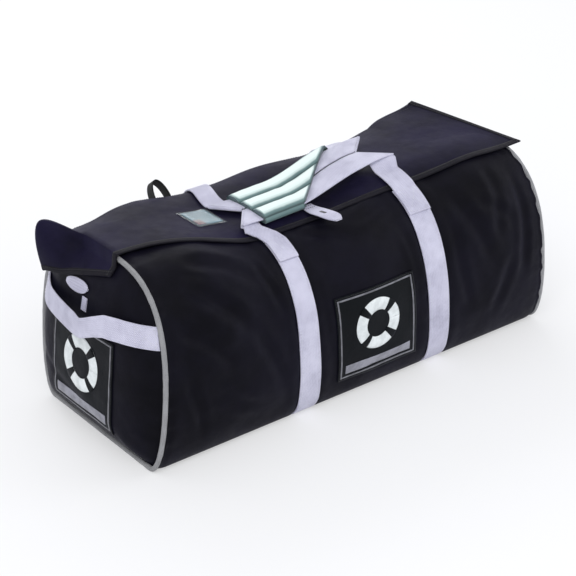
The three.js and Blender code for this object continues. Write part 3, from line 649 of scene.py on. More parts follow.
def make_body():
    s = np.linspace(0, ROUND, AROUND, endpoint=False)
    x = np.linspace(-END - SEAM_OVER, END + SEAM_OVER, ALONG)
    m, n = ALONG, AROUND
    faces = grid_faces(m, n, wrap_v=True, flip=True)
    uv = np.stack(np.broadcast_arrays(x[:, None] * MM, s[None, :] * MM), -1).reshape(-1, 2)
    verts = np.concatenate([settle(skin(x[:, None], s[None, :])).reshape(-1, 3),
                            settle([[-END, 0, BULGE_Z], [END, 0, BULGE_Z]])])
    uv = np.concatenate([uv, [[0, 0], [0, 0]]])
    for j in range(n):
        k = (j + 1) % n
        faces.append([m * n, k, j])
        faces.append([m * n + 1, (m - 1) * n + j, (m - 1) * n + k])
    return publish("bag_body", verts, faces, body_cloth, uv=uv, replaces=["packed_bag"], slot="black_fabric")


body = make_body()


# ---- end panels and piping
def make_end(side, word):
    rings, around = 60, 320
    s = np.linspace(0, ROUND, around, endpoint=False)
    shares = np.sqrt(np.linspace(1, 0.0006, rings))
    ry, rz = rim(s, 4.2)
    y = shares[:, None] * ry[None]
    z = BULGE_Z + shares[:, None] * (rz[None] - BULGE_Z)
    points = on_end(side, y, z)
    m, n = rings, around
    faces = grid_faces(m, n, wrap_v=True, flip=side > 0)
    verts = settle(np.concatenate([points.reshape(-1, 3), on_end(side, [0.0], [BULGE_Z])]))
    for j in range(n):
        tri = [m * n, (m - 1) * n + (j + 1) % n, (m - 1) * n + j]
        faces.append(tri if side > 0 else tri[::-1])
    uv = np.stack([np.append(y.ravel(), 0), np.append(z.ravel(), BULGE_Z)], -1) * MM
    panel = publish(f"{word}_end_cloth", verts, faces, body_cloth, uv=uv, replaces=[f"{word}_end_panel"],
                    slot="black_fabric")
    s = np.linspace(0, ROUND, 420, endpoint=False)
    y, z, ny, nz = outline(s)
    inset = PIPING - 0.4
    path = np.stack([np.full_like(s, side * (HALF + 0.6)), y - ny * inset,
                     np.maximum(z - nz * inset, PIPING + 0.1)], -1)
    radius = (PIPING - 0.7) * (1 + 0.05 * noise(s / 9, side * 3.0))
    tube(f"{word}_piping_cord", settle(path), radius, piping_cloth, sides=14, replaces=[f"{word}_piping"],
         slot="grey_piping")


make_end(-1, "left")
make_end(1, "right")

# ---- girth straps
STRAP_FRONT, STRAP_BACK = FRONT_REACH + 4, ROUND - BACK_REACH - 4
thread = Stitching()
dark_thread = Stitching()


def box_stitch(line, across, normal, pitch):
    """A stitched box with a cross in it: line is its middle, and across reaches its sides."""
    t = np.linspace(-1, 1, len(line))[:, None]
    for shift in (-across, across, across * t, -across * t):
        thread.row(line + shift, normal, pitch=pitch)
    for q in (0, -1):
        thread.row(np.stack([line[q] - across[q], line[q] + across[q]]), np.repeat(normal[q][None], 2, 0),
                   pitch=pitch)


def make_strap(k, word):
    s = np.linspace(STRAP_FRONT, STRAP_BACK, 300)
    _, z, ny, nz = outline(s)
    depth = lerp(-2.8, -0.7, smoothstep(z, 0, 30))
    middle = taut(STRAP_X[k], s, depth + 0.5 * noise(s / 45, k * 9.0) * smoothstep(z, 20, 60))
    face = np.stack([np.zeros_like(ny), ny, nz], -1)
    across = np.tile([WEB, 0.0, 0.0], (len(s), 1))
    ribbon(f"{word}_strap_web", middle, across, face, 2.8, white_web, replaces=[f"{word}_girth_strap"],
           slot="white_webbing")
    for edge in (-16.5, 16.5):
        path = taut(STRAP_X[k] + edge, s, depth + 2.75)
        path[:, 0] = STRAP_X[k] + edge
        keep = z > 6
        front, rear = s < ROUND / 2, s > ROUND / 2
        for part in (keep & front, keep & rear):
            thread.row(path[part], face[part], pitch=5.0, long=3.4)


make_strap(0, "left")
make_strap(1, "right")


# ---- weather flap
def flap_lift(distance):
    return lerp(3.8, 1.6, smoothstep(np.abs(distance), FRONT_REACH_LEFT, FRONT_REACH))


def flap_reach(x):
    return lerp(FRONT_REACH_LEFT, FRONT_REACH, smoothstep(x, -HALF, STRAP_X[0] - WEB - 0.5))


HEM_LIFT, HEM_BACK_IN, HEM_FRONT_OUT = 90.0, 42.0, 22.0
HEM_START = HALF - HEM_BACK_IN - HEM_LIFT
HEM_UP_BACK, HEM_UP_FRONT = 20.0, -2.0
DROP_BACK, DROP_FRONT = 72.0, 30.0
EAR_OUT, EAR_RISE, EAR_DROP, EAR_BACK = 50.0, 40.0, 50.0, 60.0


def flap_points(extra, columns=60):
    share = np.linspace(0, 1, columns)
    rows = []

    def rested(x, more):
        stop = lerp(-BACK_REACH, flap_reach(x), share)
        lumps = 1.1 * noise(x / 48 + 20, stop / 44) + 0.5 * noise(x / 17, stop / 19 + 5)
        calm = 0.25 if any(abs(x - c) < 34 for c in STRAP_X) or -120 < x < 100 else 1.0
        return taut(x, stop, flap_lift(stop) + more + 0.35 + lumps * 0.6 * calm), stop

    for turn in np.linspace(1, 0, 26, endpoint=False):
        base, stop = rested(-END, extra)
        back_part = 1 - smoothstep(stop + BACK_REACH, 0, EAR_BACK)
        a = turn * np.pi / 2
        z = base[:, 2] - lerp(DROP_BACK, DROP_FRONT, share) * (1 - math.cos(a))
        drape = np.maximum(HALF + PIPING + 2.2, -end_x(-1, base[:, 1], z) + 0.6 + 5 * math.sin(a))
        resting = np.stack([-drape - extra * math.sin(a), base[:, 1], z], -1)
        out = HALF + PIPING + EAR_OUT * math.sin(a * 1.5) + extra * math.sin(a)
        flared = np.stack([np.full(columns, -out), base[:, 1],
                           base[:, 2] + EAR_RISE * math.sin(2 * a) - EAR_DROP * turn ** 2], -1)
        rows.append(lerp(resting, flared, back_part[:, None]))
    for x in np.linspace(-END, HEM_START, 170):
        rows.append(rested(x, extra)[0])
    for turn in np.linspace(0, 1, 41)[1:]:
        base, _ = rested(lerp(HEM_START, END, turn), extra)
        x_end = HALF + lerp(-HEM_BACK_IN, HEM_FRONT_OUT, share)
        hem_z = HEIGHT + lerp(HEM_UP_BACK, HEM_UP_FRONT, share) + extra
        z = lerp(base[:, 2] + 3 * math.sin(turn * math.pi), np.maximum(hem_z, base[:, 2]), turn)
        rows.append(np.stack([lerp(HEM_START, x_end, turn), base[:, 1], z], -1))
    return np.array(rows)


flap_top = flap_points(1.5)
flap_under = flap_points(0.0)
top_m = settle(flap_top) * MM
edge_u = np.linalg.norm(np.diff(top_m, axis=0), axis=2).sum(0)
edge_v = np.linalg.norm(np.diff(top_m, axis=1), axis=2).sum(1)
flap = sheet("flap_cloth_sheet", settle(flap_top), settle(flap_under), flap_cloth,
             (float(edge_u.mean()), float(edge_v.mean())), flip=True, replaces=["weather_flap"],
             slot="navy_fabric")


def grid_normals(grid):
    du, dv = np.gradient(grid, axis=0), np.gradient(grid, axis=1)
    normal = np.cross(du, dv)
    return normal / np.maximum(np.linalg.norm(normal, axis=2, keepdims=True), 1e-9)


flap_normals = grid_normals(flap_top)
if flap_normals[100, 30, 2] < 0:
    flap_normals = -flap_normals


def binding(name, line, inward, normal, wide=9.0, thick=0.7, body_thick=1.5):
    """A folded tape over an edge: line is the edge, inward points into the sheet."""
    section = [(wide, 0.05), (wide - 0.6, thick), (1.0, thick), (-thick, 0.1), (-thick, -body_thick - 0.1),
               (1.0, -body_thick - thick), (wide - 0.6, -body_thick - thick), (wide, -body_thick - 0.05)]
    verts = np.stack([line + inward * a + normal * b for a, b in section], 1)
    m, n = verts.shape[:2]
    faces = grid_faces(m, n, wrap_v=False)
    uv = strip_uv(distance_along(line) * MM, np.arange(n) * 0.002)
    publish(name, settle(verts).reshape(-1, 3), faces, binding_cloth, uv=uv, slot="black_fabric")


HEM_STITCH = 6.5
for word, edge, inside, normal in (("front", flap_top[:, -1], flap_top[:, -5], flap_normals[:, -1]),
                                   ("right", flap_top[-1], flap_top[-4], flap_normals[-1]),
                                   ("left", flap_top[0], flap_top[3], flap_normals[0])):
    inward = unit(inside - edge)
    binding(f"flap_{word}_binding", edge, inward, normal)
    dark_thread.row(edge + inward * HEM_STITCH + normal * 0.7, normal)
for column in (1, 3):
    dark_thread.row(flap_top[28:, column], flap_normals[28:, column], pitch=4.5)

def laid(name, x, s, top, under, mat, size, **rest):
    """A sheet over the bag's broad form, at x along it and s round it, flat to the form."""
    grids = [settle(taut(x[:, None], s[None], above)) for above in (top, under)]
    sheet(name, *grids, mat, size, flip=True, **rest)


# ---- zip under the flap
ZIP_FROM, ZIP_TO = -END + 16.9, END - 0.3


def make_zip():
    x = np.linspace(ZIP_FROM, ZIP_TO, 160)
    s = np.linspace(-16, 16, 9)
    laid("zip_tape_cloth", x, s, 1.1, 0.3, tape_cloth, (0.71, 0.032), replaces=["zip_tape"], slot="zip_tape")
    verts, faces = [], []
    pitch = 3.2
    half = np.array([1.2, 2.4, 0.85])
    for k in range(int((ZIP_TO - ZIP_FROM) / pitch)):
        x0 = ZIP_FROM + (k + 0.5) * pitch
        side = 1 if k % 2 else -1
        centre = taut(x0, side * 1.2, 2.0)
        start = len(verts)
        for dx in (-1, 1):
            for dy in (-1, 1):
                for dz in (-1, 1):
                    verts.append(centre + half * np.array([dx, dy, dz]) * (0.8 if dz > 0 else 1))
        for f in ([0, 1, 3, 2], [4, 6, 7, 5], [0, 4, 5, 1], [2, 3, 7, 6], [0, 2, 6, 4], [1, 5, 7, 3]):
            faces.append([start + q for q in f])
    publish("zip_teeth", settle(np.array(verts)), faces, dark_metal, smooth=False, slot="dark_metal")


make_zip()


def make_slider():
    """The slider: a rounded body, built as a loft of rounded sections."""
    low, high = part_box("zip_slider")
    low, high = np.array(low) / MM, np.array(high) / MM
    centre, half = (low + high) / 2, (high - low) / 2
    rows = []
    for t in np.linspace(-1, 1, 17):
        wide = half[1] * (0.62 + 0.38 * (1 - ((t + 0.25) / 1.25) ** 2)) if abs(t) < 1 else half[1] * 0.45
        tall = half[2] * (0.72 + 0.28 * math.cos(t * math.pi / 2))
        ring = []
        for a in np.linspace(0, 2 * math.pi, 24, endpoint=False):
            c, q = math.cos(a), math.sin(a)
            ring.append([centre[0] + t * half[0], centre[1] + wide * np.sign(c) * abs(c) ** 0.6,
                         centre[2] + tall * np.sign(q) * abs(q) ** 0.7])
        rows.append(ring)
    rows = np.array(rows)
    faces = grid_faces(17, 24, wrap_v=True) + [list(range(24))[::-1], [16 * 24 + j for j in range(24)]]
    publish("zip_slider_body", rows.reshape(-1, 3), faces, dark_metal, replaces=["zip_slider"],
            slot="dark_metal")


make_slider()

# ---- carry handles
HANDLE_MIDDLE = WEB + 2
HANDLE_PULL = 24.0
HANDLE_TOP = (STRAP_X[0] - HANDLE_PULL, STRAP_X[1])
HANDLE_FROM, HANDLE_TO = HANDLE_TOP[0] + WEB + 4, HANDLE_TOP[1] - WEB - 4
OVER_FLAP = 1.6 + 2.4 + 0.3
TURN_AT = HANDLE_MIDDLE + WEB + 8
DRIFT_LEFT, DRIFT_RIGHT = 24.0, 6.0
HANDLE_LAP, LAP_LIFT, WEB_THICK = 46.0, 2.3, 2.8
RISE_LEFT, RISE_RIGHT, RISE_SPAN = -4.0, 21.0, (0.35, 0.95)


def handle_rise(x):
    place = np.clip((np.asarray(x, float) - HANDLE_FROM) / (HANDLE_TO - HANDLE_FROM), 0, 1)
    return lerp(RISE_LEFT, RISE_RIGHT, smoothstep(place, *RISE_SPAN))


def handle_drift(x):
    """How far forward of the zip the middle between the two handles lies."""
    place = (np.asarray(x, float) - HANDLE_TOP[0]) / (HANDLE_TOP[1] - HANDLE_TOP[0])
    return lerp(DRIFT_LEFT, DRIFT_RIGHT, np.clip(place, 0, 1))


def make_handle(front, word):
    lap_start = FRONT_REACH + 4 if front > 0 else BACK_REACH + 4
    legs = []
    for k, side in ((0, -1), (1, 1)):
        drift = float(handle_drift(HANDLE_TOP[k]))
        turn_at = TURN_AT + front * drift
        place = np.linspace(lap_start + HANDLE_LAP, turn_at, 60)
        ny, nz = outline(front * place)[2:]
        over_zip = flap_lift(np.maximum(place - 20, 0)) - 1.6
        pulled = (1 - smoothstep(place, turn_at - 8, lap_start + 12)) if side < 0 else np.zeros_like(place)
        on_strap = smoothstep(place, lap_start - 6, lap_start + 8)
        above = lerp(OVER_FLAP + over_zip + pulled * 2, LAP_LIFT, on_strap)
        x0 = lerp(STRAP_X[k], HANDLE_TOP[k], pulled)
        middle = taut(x0, front * place, above)
        middle[:, 0] = x0
        face = np.stack([np.zeros_like(ny), ny, nz], -1)
        across = np.tile([WEB, 0.0, 0.0], (len(place), 1))
        # the folded corner: the leg's end is cut on the diagonal where it turns along the bag
        level = HEIGHT + handle_rise(HANDLE_TOP[k])
        steps = np.linspace(0, 1, 12)[1:]
        outer_y, inner_y = -front * (HANDLE_MIDDLE + WEB) - drift, -front * (HANDLE_MIDDLE - WEB) - drift
        start_y, start_z = middle[-1, 1], middle[-1, 2]
        top_mid, top_across, top_face = [], [], []
        for t in steps:
            y_far = lerp(start_y, inner_y, t)
            y_near = lerp(start_y, outer_y, t)
            far = np.array([HANDLE_TOP[k] - side * WEB, y_far, lerp(start_z, level, smoothstep(t, 0, 0.6))])
            near = np.array([HANDLE_TOP[k] + side * WEB, y_near, lerp(start_z, level, smoothstep(t, 0, 0.6))])
            top_mid.append((far + near) / 2)
            top_across.append((near - far) / 2 * side)
            top_face.append([0, face[-1, 1] * (1 - t), lerp(face[-1, 2], 1, t)])
        middle = np.concatenate([middle, top_mid])
        across = np.concatenate([across, top_across])
        face = np.concatenate([face, top_face])
        legs.append((middle, across, face))
        lap = np.linspace(lap_start + 6, lap_start + HANDLE_LAP - 4, 12)
        normal = np.stack([np.zeros(12), *outline(front * lap)[2:]], -1)
        line = taut(STRAP_X[k], front * lap, LAP_LIFT + WEB_THICK)
        line[:, 0] = STRAP_X[k]
        box_stitch(line, np.tile([15.5, 0.0, 0.0], (12, 1)), normal, 4.4)
    # the level run, with slanted ends that lie on the folded corners
    xs = np.linspace(0, 1, 60)
    mid, acr, fac = [], [], []
    for t in xs:
        near, far = (np.array([lerp(HANDLE_TOP[0] - reach, HANDLE_TOP[1] + reach, t),
                               -front * (HANDLE_MIDDLE + reach), 0]) for reach in (WEB, -WEB))
        near[1] -= handle_drift(near[0])
        far[1] -= handle_drift(far[0])
        centre = (near + far) / 2
        level = HEIGHT + handle_rise(centre[0])
        ends = 1 - smoothstep(min(t, 1 - t), 0.06, 0.2)
        near[2] = far[2] = level + ends * (WEB_THICK + 0.1)
        mid.append((near + far) / 2)
        acr.append((near - far) / 2)
        fac.append([0, 0, 1])
    run = (np.array(mid), np.array(acr) * front, np.array(fac, float))
    for q, leg in enumerate(legs):
        ribbon(f"{word}_handle_leg_{q}", *leg, WEB_THICK, white_web, slot="white_webbing")
    ribbon(f"{word}_handle_run", *run, WEB_THICK, white_web, replaces=[f"{word}_handle"],
           slot="white_webbing")
    # rolled crease along each diagonal
    for q, t in ((0, 0), (1, -1)):
        a = run[0][t] - run[1][t]
        b = run[0][t] + run[1][t]
        line = np.linspace(a, b, 14)
        line[:, 2] = HEIGHT + handle_rise(HANDLE_TOP[q]) + WEB_THICK
        tube(f"{word}_handle_crease_{q}", settle(line), np.full(14, WEB_THICK * 0.98), white_web, sides=12,
             closed=False, slot="white_webbing")


make_handle(1, "front")
make_handle(-1, "back")


# ---- the grip
def make_grip():
    slot_half = HANDLE_MIDDLE + WEB + 0.3
    half = slot_half + 4
    slot_top = WEB_THICK + 1.2
    top = 72
    # depth holds painted light for each point of the cross-section: 1 on the rib crests and 0 in the grooves
    # between them, which get painted shade
    profile, depth = [], []
    for i in range(top + 1):
        share = i / top
        rib = abs(math.sin(share * math.pi * 3)) ** 0.62
        y = lerp(half, -half, share)
        z = slot_top + 2.4 + 8 * rib
        profile.append((y, z))
        depth.append(rib)
    # painted shade on the sides (0.45) and underneath (0.35)
    for a in np.linspace(0, 1, 9)[1:-1]:
        profile.append((-half - 1.6 * math.sin(a * math.pi), lerp(slot_top + 2.4, -3.0, a)))
        depth.append(0.45)
    for i in range(17):
        profile.append((lerp(-half, half, i / 16), -3.0))
        depth.append(0.35)
    for a in np.linspace(0, 1, 9)[1:-1]:
        profile.append((half + 1.6 * math.sin(a * math.pi), lerp(-3.0, slot_top + 2.4, a)))
        depth.append(0.45)
    profile, depth = np.array(profile), np.array(depth)
    grip_from, length, slant = HANDLE_FROM + 3, 150.0, 62.0
    rows, painted_lightness = [], []
    shares = np.concatenate([[0, 0.004, 0.012], np.linspace(0.025, 0.975, 80), [0.988, 0.996, 1]])
    for t in shares:
        round_off = min(t, 1 - t)
        puff = 1 - 0.30 * (1 - smoothstep(round_off, 0, 0.03)) ** 2
        x = lerp(grip_from, grip_from + length + slant * profile[:, 0] / half, t)
        base = slot_top + 2.4
        z = np.where(profile[:, 1] > base, base + (profile[:, 1] - base) * puff, profile[:, 1])
        lumps = 0.5 * noise(x / 15, profile[:, 0] / 9) * (profile[:, 1] > base)
        rows.append(np.stack([x, profile[:, 0] - handle_drift(x), HEIGHT + handle_rise(x) + z + lumps], -1))
        # painted shade that darkens the grip towards its rounded ends
        painted_lightness.append(depth * (0.55 + 0.45 * smoothstep(round_off, 0, 0.035)))
    outer = np.array(rows)
    m, n = outer.shape[:2]
    verts = settle(outer).reshape(-1, 3)
    faces = grid_faces(m, n, wrap_v=True, flip=True)
    painted_lightness = np.array(painted_lightness).ravel()
    # the ends turn in to the webbing
    for row, flip in ((0, False), (m - 1, True)):
        ring = outer[row].copy()
        ring[:, 2] = HEIGHT + handle_rise(ring[:, 0]) + np.clip(profile[:, 1], -0.5, slot_top)
        ring[:, 1] = np.clip(profile[:, 0], -slot_half, slot_half) - handle_drift(ring[:, 0])
        start = len(verts)
        verts = np.concatenate([verts, settle(ring)])
        # the turned-in ends get a deep painted shade level of 0.1
        painted_lightness = np.concatenate([painted_lightness, np.full(n, 0.1)])
        for j in range(n):
            k = (j + 1) % n
            quad = [row * n + j, row * n + k, start + k, start + j]
            faces.append(quad[::-1] if flip else quad)
    uv = np.concatenate([grid_uv(m, n, 0.2, 0.2), np.zeros((2 * n, 2))])
    o = publish("grip_wrap", verts, faces, grip_cloth, uv=uv, replaces=["handle_grip"], slot="mint_grip")
    # the painted light levels go to the "depth" attribute that grip_cloth reads
    layer = o.data.attributes.new("depth", "FLOAT", "POINT")
    layer.data.foreach_set("value", painted_lightness.astype(np.float32))
    for share in (1 / 3, 2 / 3):
        i = int(round(share * top))
        path = outer[4:-4, i] + np.array([0, 0, 0.2])
        thread.row(path, np.tile([0, 0, 1.0], (len(path), 1)), pitch=4.0)


make_grip()


# ---- end handles
# how far out and down the webbing is, by its place from the front seam, -1, to the back one, 1
END_HANDLE_OUT = ((-1, -0.94, -0.86, -0.62, -0.16, 0.60, 0.86, 0.94, 1), (0, 0, 0, 8, 23, 8, 0, 0, 0))
END_HANDLE_DROOP = ((-1, -0.85, -0.62, -0.46, -0.32, -0.16, 0.86, 1), (0, -1, -5, -6, -1, 7, 0, 0))
END_HANDLE_Z, END_HANDLE_FALL, END_HANDLE_HALF = 206, 9, 16


def make_end_handle(side, word):
    shares = np.linspace(-1, 1, 90)
    out = np.interp(shares, *END_HANDLE_OUT)
    for _ in range(3):
        out[1:-1] = (out[:-2] + 2 * out[1:-1] + out[2:]) / 4
    droop = np.interp(shares, *END_HANDLE_DROOP)
    twist = 6 * np.exp(-(((shares + 0.27) / 0.13) ** 2))
    edges = []
    for up_half in (1, -1):
        z = END_HANDLE_Z - END_HANDLE_FALL * shares - droop + up_half * END_HANDLE_HALF
        span = -outline(front_distance(z))[0] - 9.6 - 2
        y = shares * span
        x = end_x(side, y, z, 1.6 + out + up_half * twist, fold=0.25)
        edges.append(np.stack([x, y, z], -1))
    for e in edges:
        for _ in range(2):
            e[1:-1, 0] = (e[:-2, 0] + 2 * e[1:-1, 0] + e[2:, 0]) / 4
    middle = (edges[0] + edges[1]) / 2
    across = (edges[0] - edges[1]) / 2
    along = np.gradient(middle, axis=0)
    face = np.cross(along, across) * (-side)
    if (face[45, 0] > 0) != (side > 0):
        face = -face
    ribbon(f"{word}_end_handle_web", middle, across, face, WEB_THICK, white_web,
           replaces=[f"{word}_end_handle"], slot="white_webbing")
    face = unit(face)
    for rows in (slice(1, 10), slice(-10, -1)):
        box_stitch(middle[rows] + face[rows] * WEB_THICK, across[rows] * 0.78, face[rows], 4.2)


make_end_handle(-1, "left")
make_end_handle(1, "right")


# ---- tag, tail, loop, pocket, tab
TAG_LONG, TAG_WIDE, TAG_DOWN, TAG_Y, TAG_SLOPE, TAIL_DOWN = 57.0, 20.0, 61.0, 28.0, 0.08, 80.0


def make_tag():
    t = np.linspace(0, 1, 40)
    width = TAG_WIDE * np.sqrt(np.clip(1 - (2 * t - 0.96) ** 2, 0.02, 1)) * lerp(0.86, 1.05, t)
    y = TAG_Y - (t - 0.5) * TAG_LONG
    z = HEIGHT - TAG_DOWN + (t - 0.5) * TAG_LONG * TAG_SLOPE
    edges = [on_end(-1, y, z + k * width / 2, 1.4, fold=0.3) for k in (1, -1)]
    middle, across = (edges[0] + edges[1]) / 2, (edges[0] - edges[1]) / 2
    face = np.tile([-1.0, 0, 0.1], (40, 1))
    ribbon("zip_tag", middle, across, face, 2.0, white_web, replaces=["pull_tag"], slot="white_webbing")
    edges = [on_end(-1, np.linspace(9, -3, 12), HEIGHT - TAIL_DOWN + k * 10, 1.0, fold=0.3) for k in (1, -1)]
    middle, across = (edges[0] + edges[1]) / 2, (edges[0] - edges[1]) / 2
    ribbon("zip_tail", middle, across, np.tile([-1.0, 0, 0], (12, 1)), 1.4, white_web, replaces=["pull_tail"],
           slot="white_webbing")


make_tag()


def make_loop():
    centre_x = STRAP_X[0] - WEB - 46
    place = -(BACK_REACH + 4 + 10)
    ny, nz = (float(v) for v in outline(place)[2:])
    normal, tangent = np.array([0, ny, nz]), np.array([0, nz, -ny])
    middle, across, face = [], [], []
    for turn in np.linspace(-0.12, math.pi + 0.12, 44):
        reach = math.sin(turn)
        foot = taut(centre_x - math.cos(turn) * 15, place, 0.8)
        foot[0] = centre_x - math.cos(turn) * 15
        middle.append(foot + normal * 30 * max(reach, 0))
        across.append(tangent * 10)
        face.append([-math.cos(turn), ny * reach, nz * reach])
    ribbon("lashing_loop_web", middle, across, face, 2.0, black_web, replaces=["lashing_loop"],
           slot="black_webbing")


make_loop()


def make_pocket():
    to = STRAP_X[0] - WEB - 24
    x = np.linspace(to - 62, to, 36)
    s = np.linspace(-29, 29, 36)
    lift = flap_lift(s)[None] + 2.4
    card_x, card_s = np.linspace(to - 57, to - 5, 24), np.linspace(-24, 24, 24)
    card_lift = flap_lift(card_s)[None] + 2.4 + 0.7
    laid("pocket_card_slate", card_x, card_s, card_lift + 0.5, card_lift, card_slate, (0.052, 0.048),
         replaces=["pocket_card"], slot="slate_card")
    corner_x, corner_s = np.linspace(to - 56, to - 40, 10), np.linspace(6, 23, 10)
    corner = flap_lift(corner_s)[None] + 2.4 + 1.2
    laid("pocket_card_corner", corner_x, corner_s, corner + 0.15, corner + 0.02, card_maroon, (0.016, 0.017),
         slot="slate_card")
    edge = np.minimum(np.minimum(x - x[0], x[-1] - x)[:, None], np.minimum(s - s[0], s[-1] - s)[None])
    dome = 1.3 * smoothstep(edge, 2, 12) + 0.35 * noise(x[:, None] / 11, s[None] / 9) * smoothstep(edge, 3, 8)
    film = taut(x[:, None], s[None], lift + 0.5 + dome)
    film_obj = sheet("pocket_film_clear", settle(film + np.array([0, 0, 0.25])), settle(film), clear_film,
                     (0.062, 0.058), flip=True, replaces=["pocket_film"], slot="clear_film")
    for line in (film[1, 1:-1], film[1:-1, -2], film[-2, 1:-1][::-1], film[1:-1, 1][::-1]):
        dark_thread.row(line + np.array([0, 0, 0.4]), np.tile([0, 0, 1.0], (len(line), 1)), pitch=4.0)


make_pocket()


TAB_SEWN, TAB_LONG, TAB_RISE, TAB_HALF, TAB_X = 36, 66, 24, 15, -4


def make_tab():
    t = np.linspace(0, 1, 50)
    distance = FRONT_REACH - TAB_SEWN + t * TAB_LONG
    above = flap_lift(distance) + 2.4 + 0.6 + TAB_RISE * t ** 2
    width = TAB_HALF * np.clip(lerp(0.72, 1.0, smoothstep(t, 0, 0.5)), 0, 1)
    width = width * np.sqrt(np.clip(1 - smoothstep(t, 0.72, 1.06) ** 2, 0.02, 1))
    middle = taut(TAB_X, distance, above)
    middle[:, 0] = TAB_X
    along = np.gradient(middle, axis=0)
    across = np.stack([width, np.zeros(50), np.zeros(50)], -1)
    face = np.cross(across, along)
    if face[0, 2] < 0:
        face = -face
    ribbon("flap_tab_web", middle, across, face, 2.0, white_web, replaces=["flap_tab"], slot="white_webbing")
    face = unit(face)
    for q in (3, 9):
        row = np.stack([middle[q] + across[q] * k + face[q] * 2.1 for k in np.linspace(-0.8, 0.8, 6)])
        dark_thread.row(row, np.tile(face[q], (6, 1)), pitch=3.6)
    dash = np.stack([middle[q] + face[q] * 2.2 for q in range(26, 34)])
    ribbon("flap_tab_eyelet", dash, np.tile([2.4, 0, 0], (8, 1)), face[26:34], 0.6, dark_metal,
           slot="dark_metal")


make_tab()


# ---- patches with a ring and a strip
def patch_pieces(word, place, width, height, centre_z):
    """place(u, v, off) gives points for u across and v up, in millimetres, before the slump."""
    def layer(name, a, b, top, under, mat, size, **rest):
        sheet(f"{word}_{name}", settle(place(a, b, top)), settle(place(a, b, under)), mat, size, **rest)

    u = np.linspace(-width / 2, width / 2, 60)
    v = np.linspace(-height / 2, height / 2, 60)
    U, V = np.meshgrid(u, v, indexing="ij")
    layer("patch_cloth", U, V, 1.3, 0.0, patch_cloth, (width * MM, height * MM), flip=True,
          replaces=[f"{word}_patch"], slot="black_fabric")
    # a grey frame line inside the edge, made of four thin bars
    bar = 2.6
    inset = 4.5
    hw, hh = width / 2 - inset, height / 2 - inset
    for name, u0, u1, v0, v1 in (("left", -hw, -hw + bar, -hh, hh), ("right", hw - bar, hw, -hh, hh),
                                 ("low", -hw + bar, hw - bar, -hh, -hh + bar),
                                 ("high", -hw + bar, hw - bar, hh - bar, hh)):
        uu = np.linspace(u0, u1, 3 if u1 - u0 < 10 else 48)
        vv = np.linspace(v0, v1, 3 if v1 - v0 < 10 else 48)
        A, B = np.meshgrid(uu, vv, indexing="ij")
        layer(f"frame_{name}", A, B, 1.75, 1.3, frame_grey, ((u1 - u0) * MM, (v1 - v0) * MM), flip=True,
              slot="grey_strip")
    # the ring, with four blocks like a lifebuoy's bands left as gaps
    turn = np.linspace(0, 2 * np.pi, 97)
    radius = np.linspace(23, 43, 9)
    T, R = np.meshgrid(turn, radius, indexing="ij")
    crown = 0.9 * np.sin((R - 23) / 20 * np.pi) ** 0.7
    A, B = R * np.cos(T), centre_z + R * np.sin(T)
    layer("ring_print", A, B, 1.9 + crown, 1.35, print_white, (0.2, 0.02), replaces=[f"{word}_ring"],
          slot="white_print")
    for q in range(4):
        t0 = math.pi / 4 + q * math.pi / 2
        T, R = np.meshgrid(np.linspace(t0 - 0.16, t0 + 0.16, 9), np.linspace(22.4, 43.6, 9), indexing="ij")
        crown = 0.9 * np.sin(np.clip((R - 23) / 20, 0, 1) * np.pi) ** 0.7
        A, B = R * np.cos(T), centre_z + R * np.sin(T)
        layer(f"ring_band_{q}", A, B, 2.35 + crown, 1.9 + crown, patch_cloth, (0.02, 0.02),
              slot="black_fabric")
    sw = width / 2 - 14
    A, B = np.meshgrid(np.linspace(-sw, sw, 60), np.linspace(12, 27, 10) - height / 2, indexing="ij")
    layer("strip_print", A, B, 1.9, 1.35, strip_grey, (2 * sw * MM, 0.015), flip=True,
          replaces=[f"{word}_strip"], slot="grey_strip")
    ew, eh = width / 2 - 2, height / 2 - 2
    line = [(-ew, -eh), (ew, -eh), (ew, eh), (-ew, eh)]
    for (a0, b0), (a1, b1) in zip(line, line[1:] + line[:1]):
        t = np.linspace(0, 1, 50)
        path, ahead = (place(lerp(a0, a1, t), lerp(b0, b1, t), off) for off in (1.35, 2.35))
        dark_thread.row(path, ahead - path, pitch=4.0)


PATCH_W, PATCH_H, PATCH_Z = 156.0, 146.0, 42 + 73.0
FRONT_PATCH_X, END_PATCH_Y = 26, 4
RING_UP = 126 - PATCH_Z


def on_front(u, v, off):
    return skin(FRONT_PATCH_X + np.asarray(u, float), front_distance(PATCH_Z + np.asarray(v, float)), 0.6 + off)


def on_left_end(u, v, off):
    return on_end(-1, END_PATCH_Y - np.asarray(u, float), PATCH_Z + np.asarray(v, float), 0.6 + off)


patch_pieces("front", on_front, PATCH_W, PATCH_H, RING_UP)
patch_pieces("end", on_left_end, PATCH_W, PATCH_H, RING_UP)

thread.make("pale_stitching", white_thread, slot="white_webbing")
dark_thread.make("dark_stitching", black_thread, slot="black_fabric")

# ---- floor, backdrop and light
floor_mesh = bpy.data.meshes.new("floor")
floor_mesh.from_pydata([(-8, -8, 0), (8, -8, 0), (8, 8, 0), (-8, 8, 0)], [], [(0, 1, 2, 3)])
floor = bpy.data.objects.new("floor", floor_mesh)
bpy.context.scene.collection.objects.link(floor)


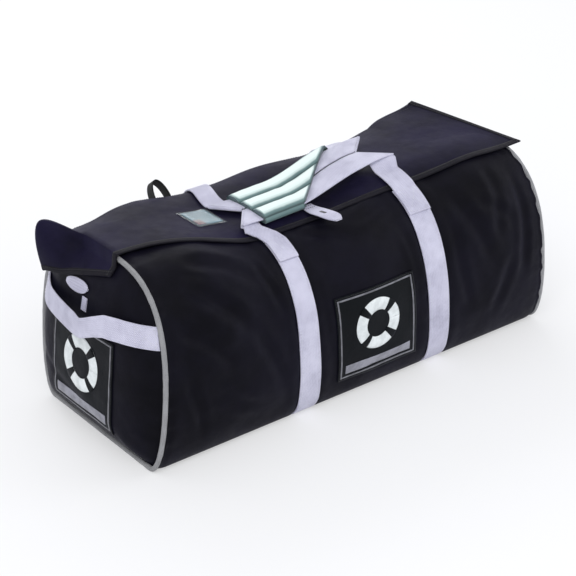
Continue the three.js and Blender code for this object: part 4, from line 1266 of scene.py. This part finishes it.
def shows_background(tree):
    """1 for the rays that see the white background: the camera's own, mirrored ones and refracted ones."""
    ray = tree.nodes.new("ShaderNodeLightPath")
    other = math_node(tree, "MAXIMUM", ray.outputs["Is Glossy Ray"], ray.outputs["Is Transmission Ray"])
    return math_node(tree, "MAXIMUM", ray.outputs["Is Camera Ray"], other)


def mix_in(tree, share, plain, shown, out):
    made = tree.nodes.new("ShaderNodeMixShader")
    for socket, value in zip(made.inputs, (share, plain.outputs[0], shown.outputs[0])):
        tree.links.new(value, socket)
    tree.links.new(made.outputs[0], out.inputs[0])


def floor_material():
    mat = bpy.data.materials.new("floor_pale")
    mat.use_nodes = True
    tree = mat.node_tree
    tree.nodes.clear()
    out = tree.nodes.new("ShaderNodeOutputMaterial")
    diffuse = node(tree, "ShaderNodeBsdfDiffuse", Color=(0.90, 0.90, 0.91, 1))
    glow = node(tree, "ShaderNodeEmission", Color=(1, 1, 1, 1), Strength=1.0)
    part = math_node(tree, "MULTIPLY", shows_background(tree), 0.45)
    mix_in(tree, part, diffuse, glow, out)
    return mat


floor_mesh.materials.append(floor_material())

world = bpy.data.worlds.new("world")
bpy.context.scene.world = world
world.use_nodes = True
world_tree = world.node_tree
world_back = world_tree.nodes["Background"]
world_back.inputs["Color"].default_value = (0.93, 0.95, 1.0, 1)
world_back.inputs["Strength"].default_value = 0.75
camera_back = node(world_tree, "ShaderNodeBackground", Color=(1, 1, 1, 1), Strength=1.0)
mix_in(world_tree, shows_background(world_tree), world_back, camera_back, world_tree.nodes["World Output"])


def area_light(name, place, size, power, color=(1, 1, 1)):
    data = bpy.data.lights.new(name, "AREA")
    data.shape = "RECTANGLE"
    data.size, data.size_y = size
    data.energy = power
    data.color = color
    o = bpy.data.objects.new(name, data)
    bpy.context.scene.collection.objects.link(o)
    o.location = place
    o.rotation_mode = "QUATERNION"
    o.rotation_quaternion = (Vector((0, 0, 0.15)) - Vector(place)).to_track_quat("-Z", "Y")


area_light("key", (-1.6, -1.9, 2.6), (2.2, 1.6), 42)
area_light("fill", (2.4, -1.6, 1.5), (1.8, 1.8), 16, (0.95, 0.97, 1.0))
area_light("rim", (0.6, 2.2, 1.9), (2.4, 1.0), 22)

scene = bpy.context.scene
scene.view_settings.view_transform = "Standard"
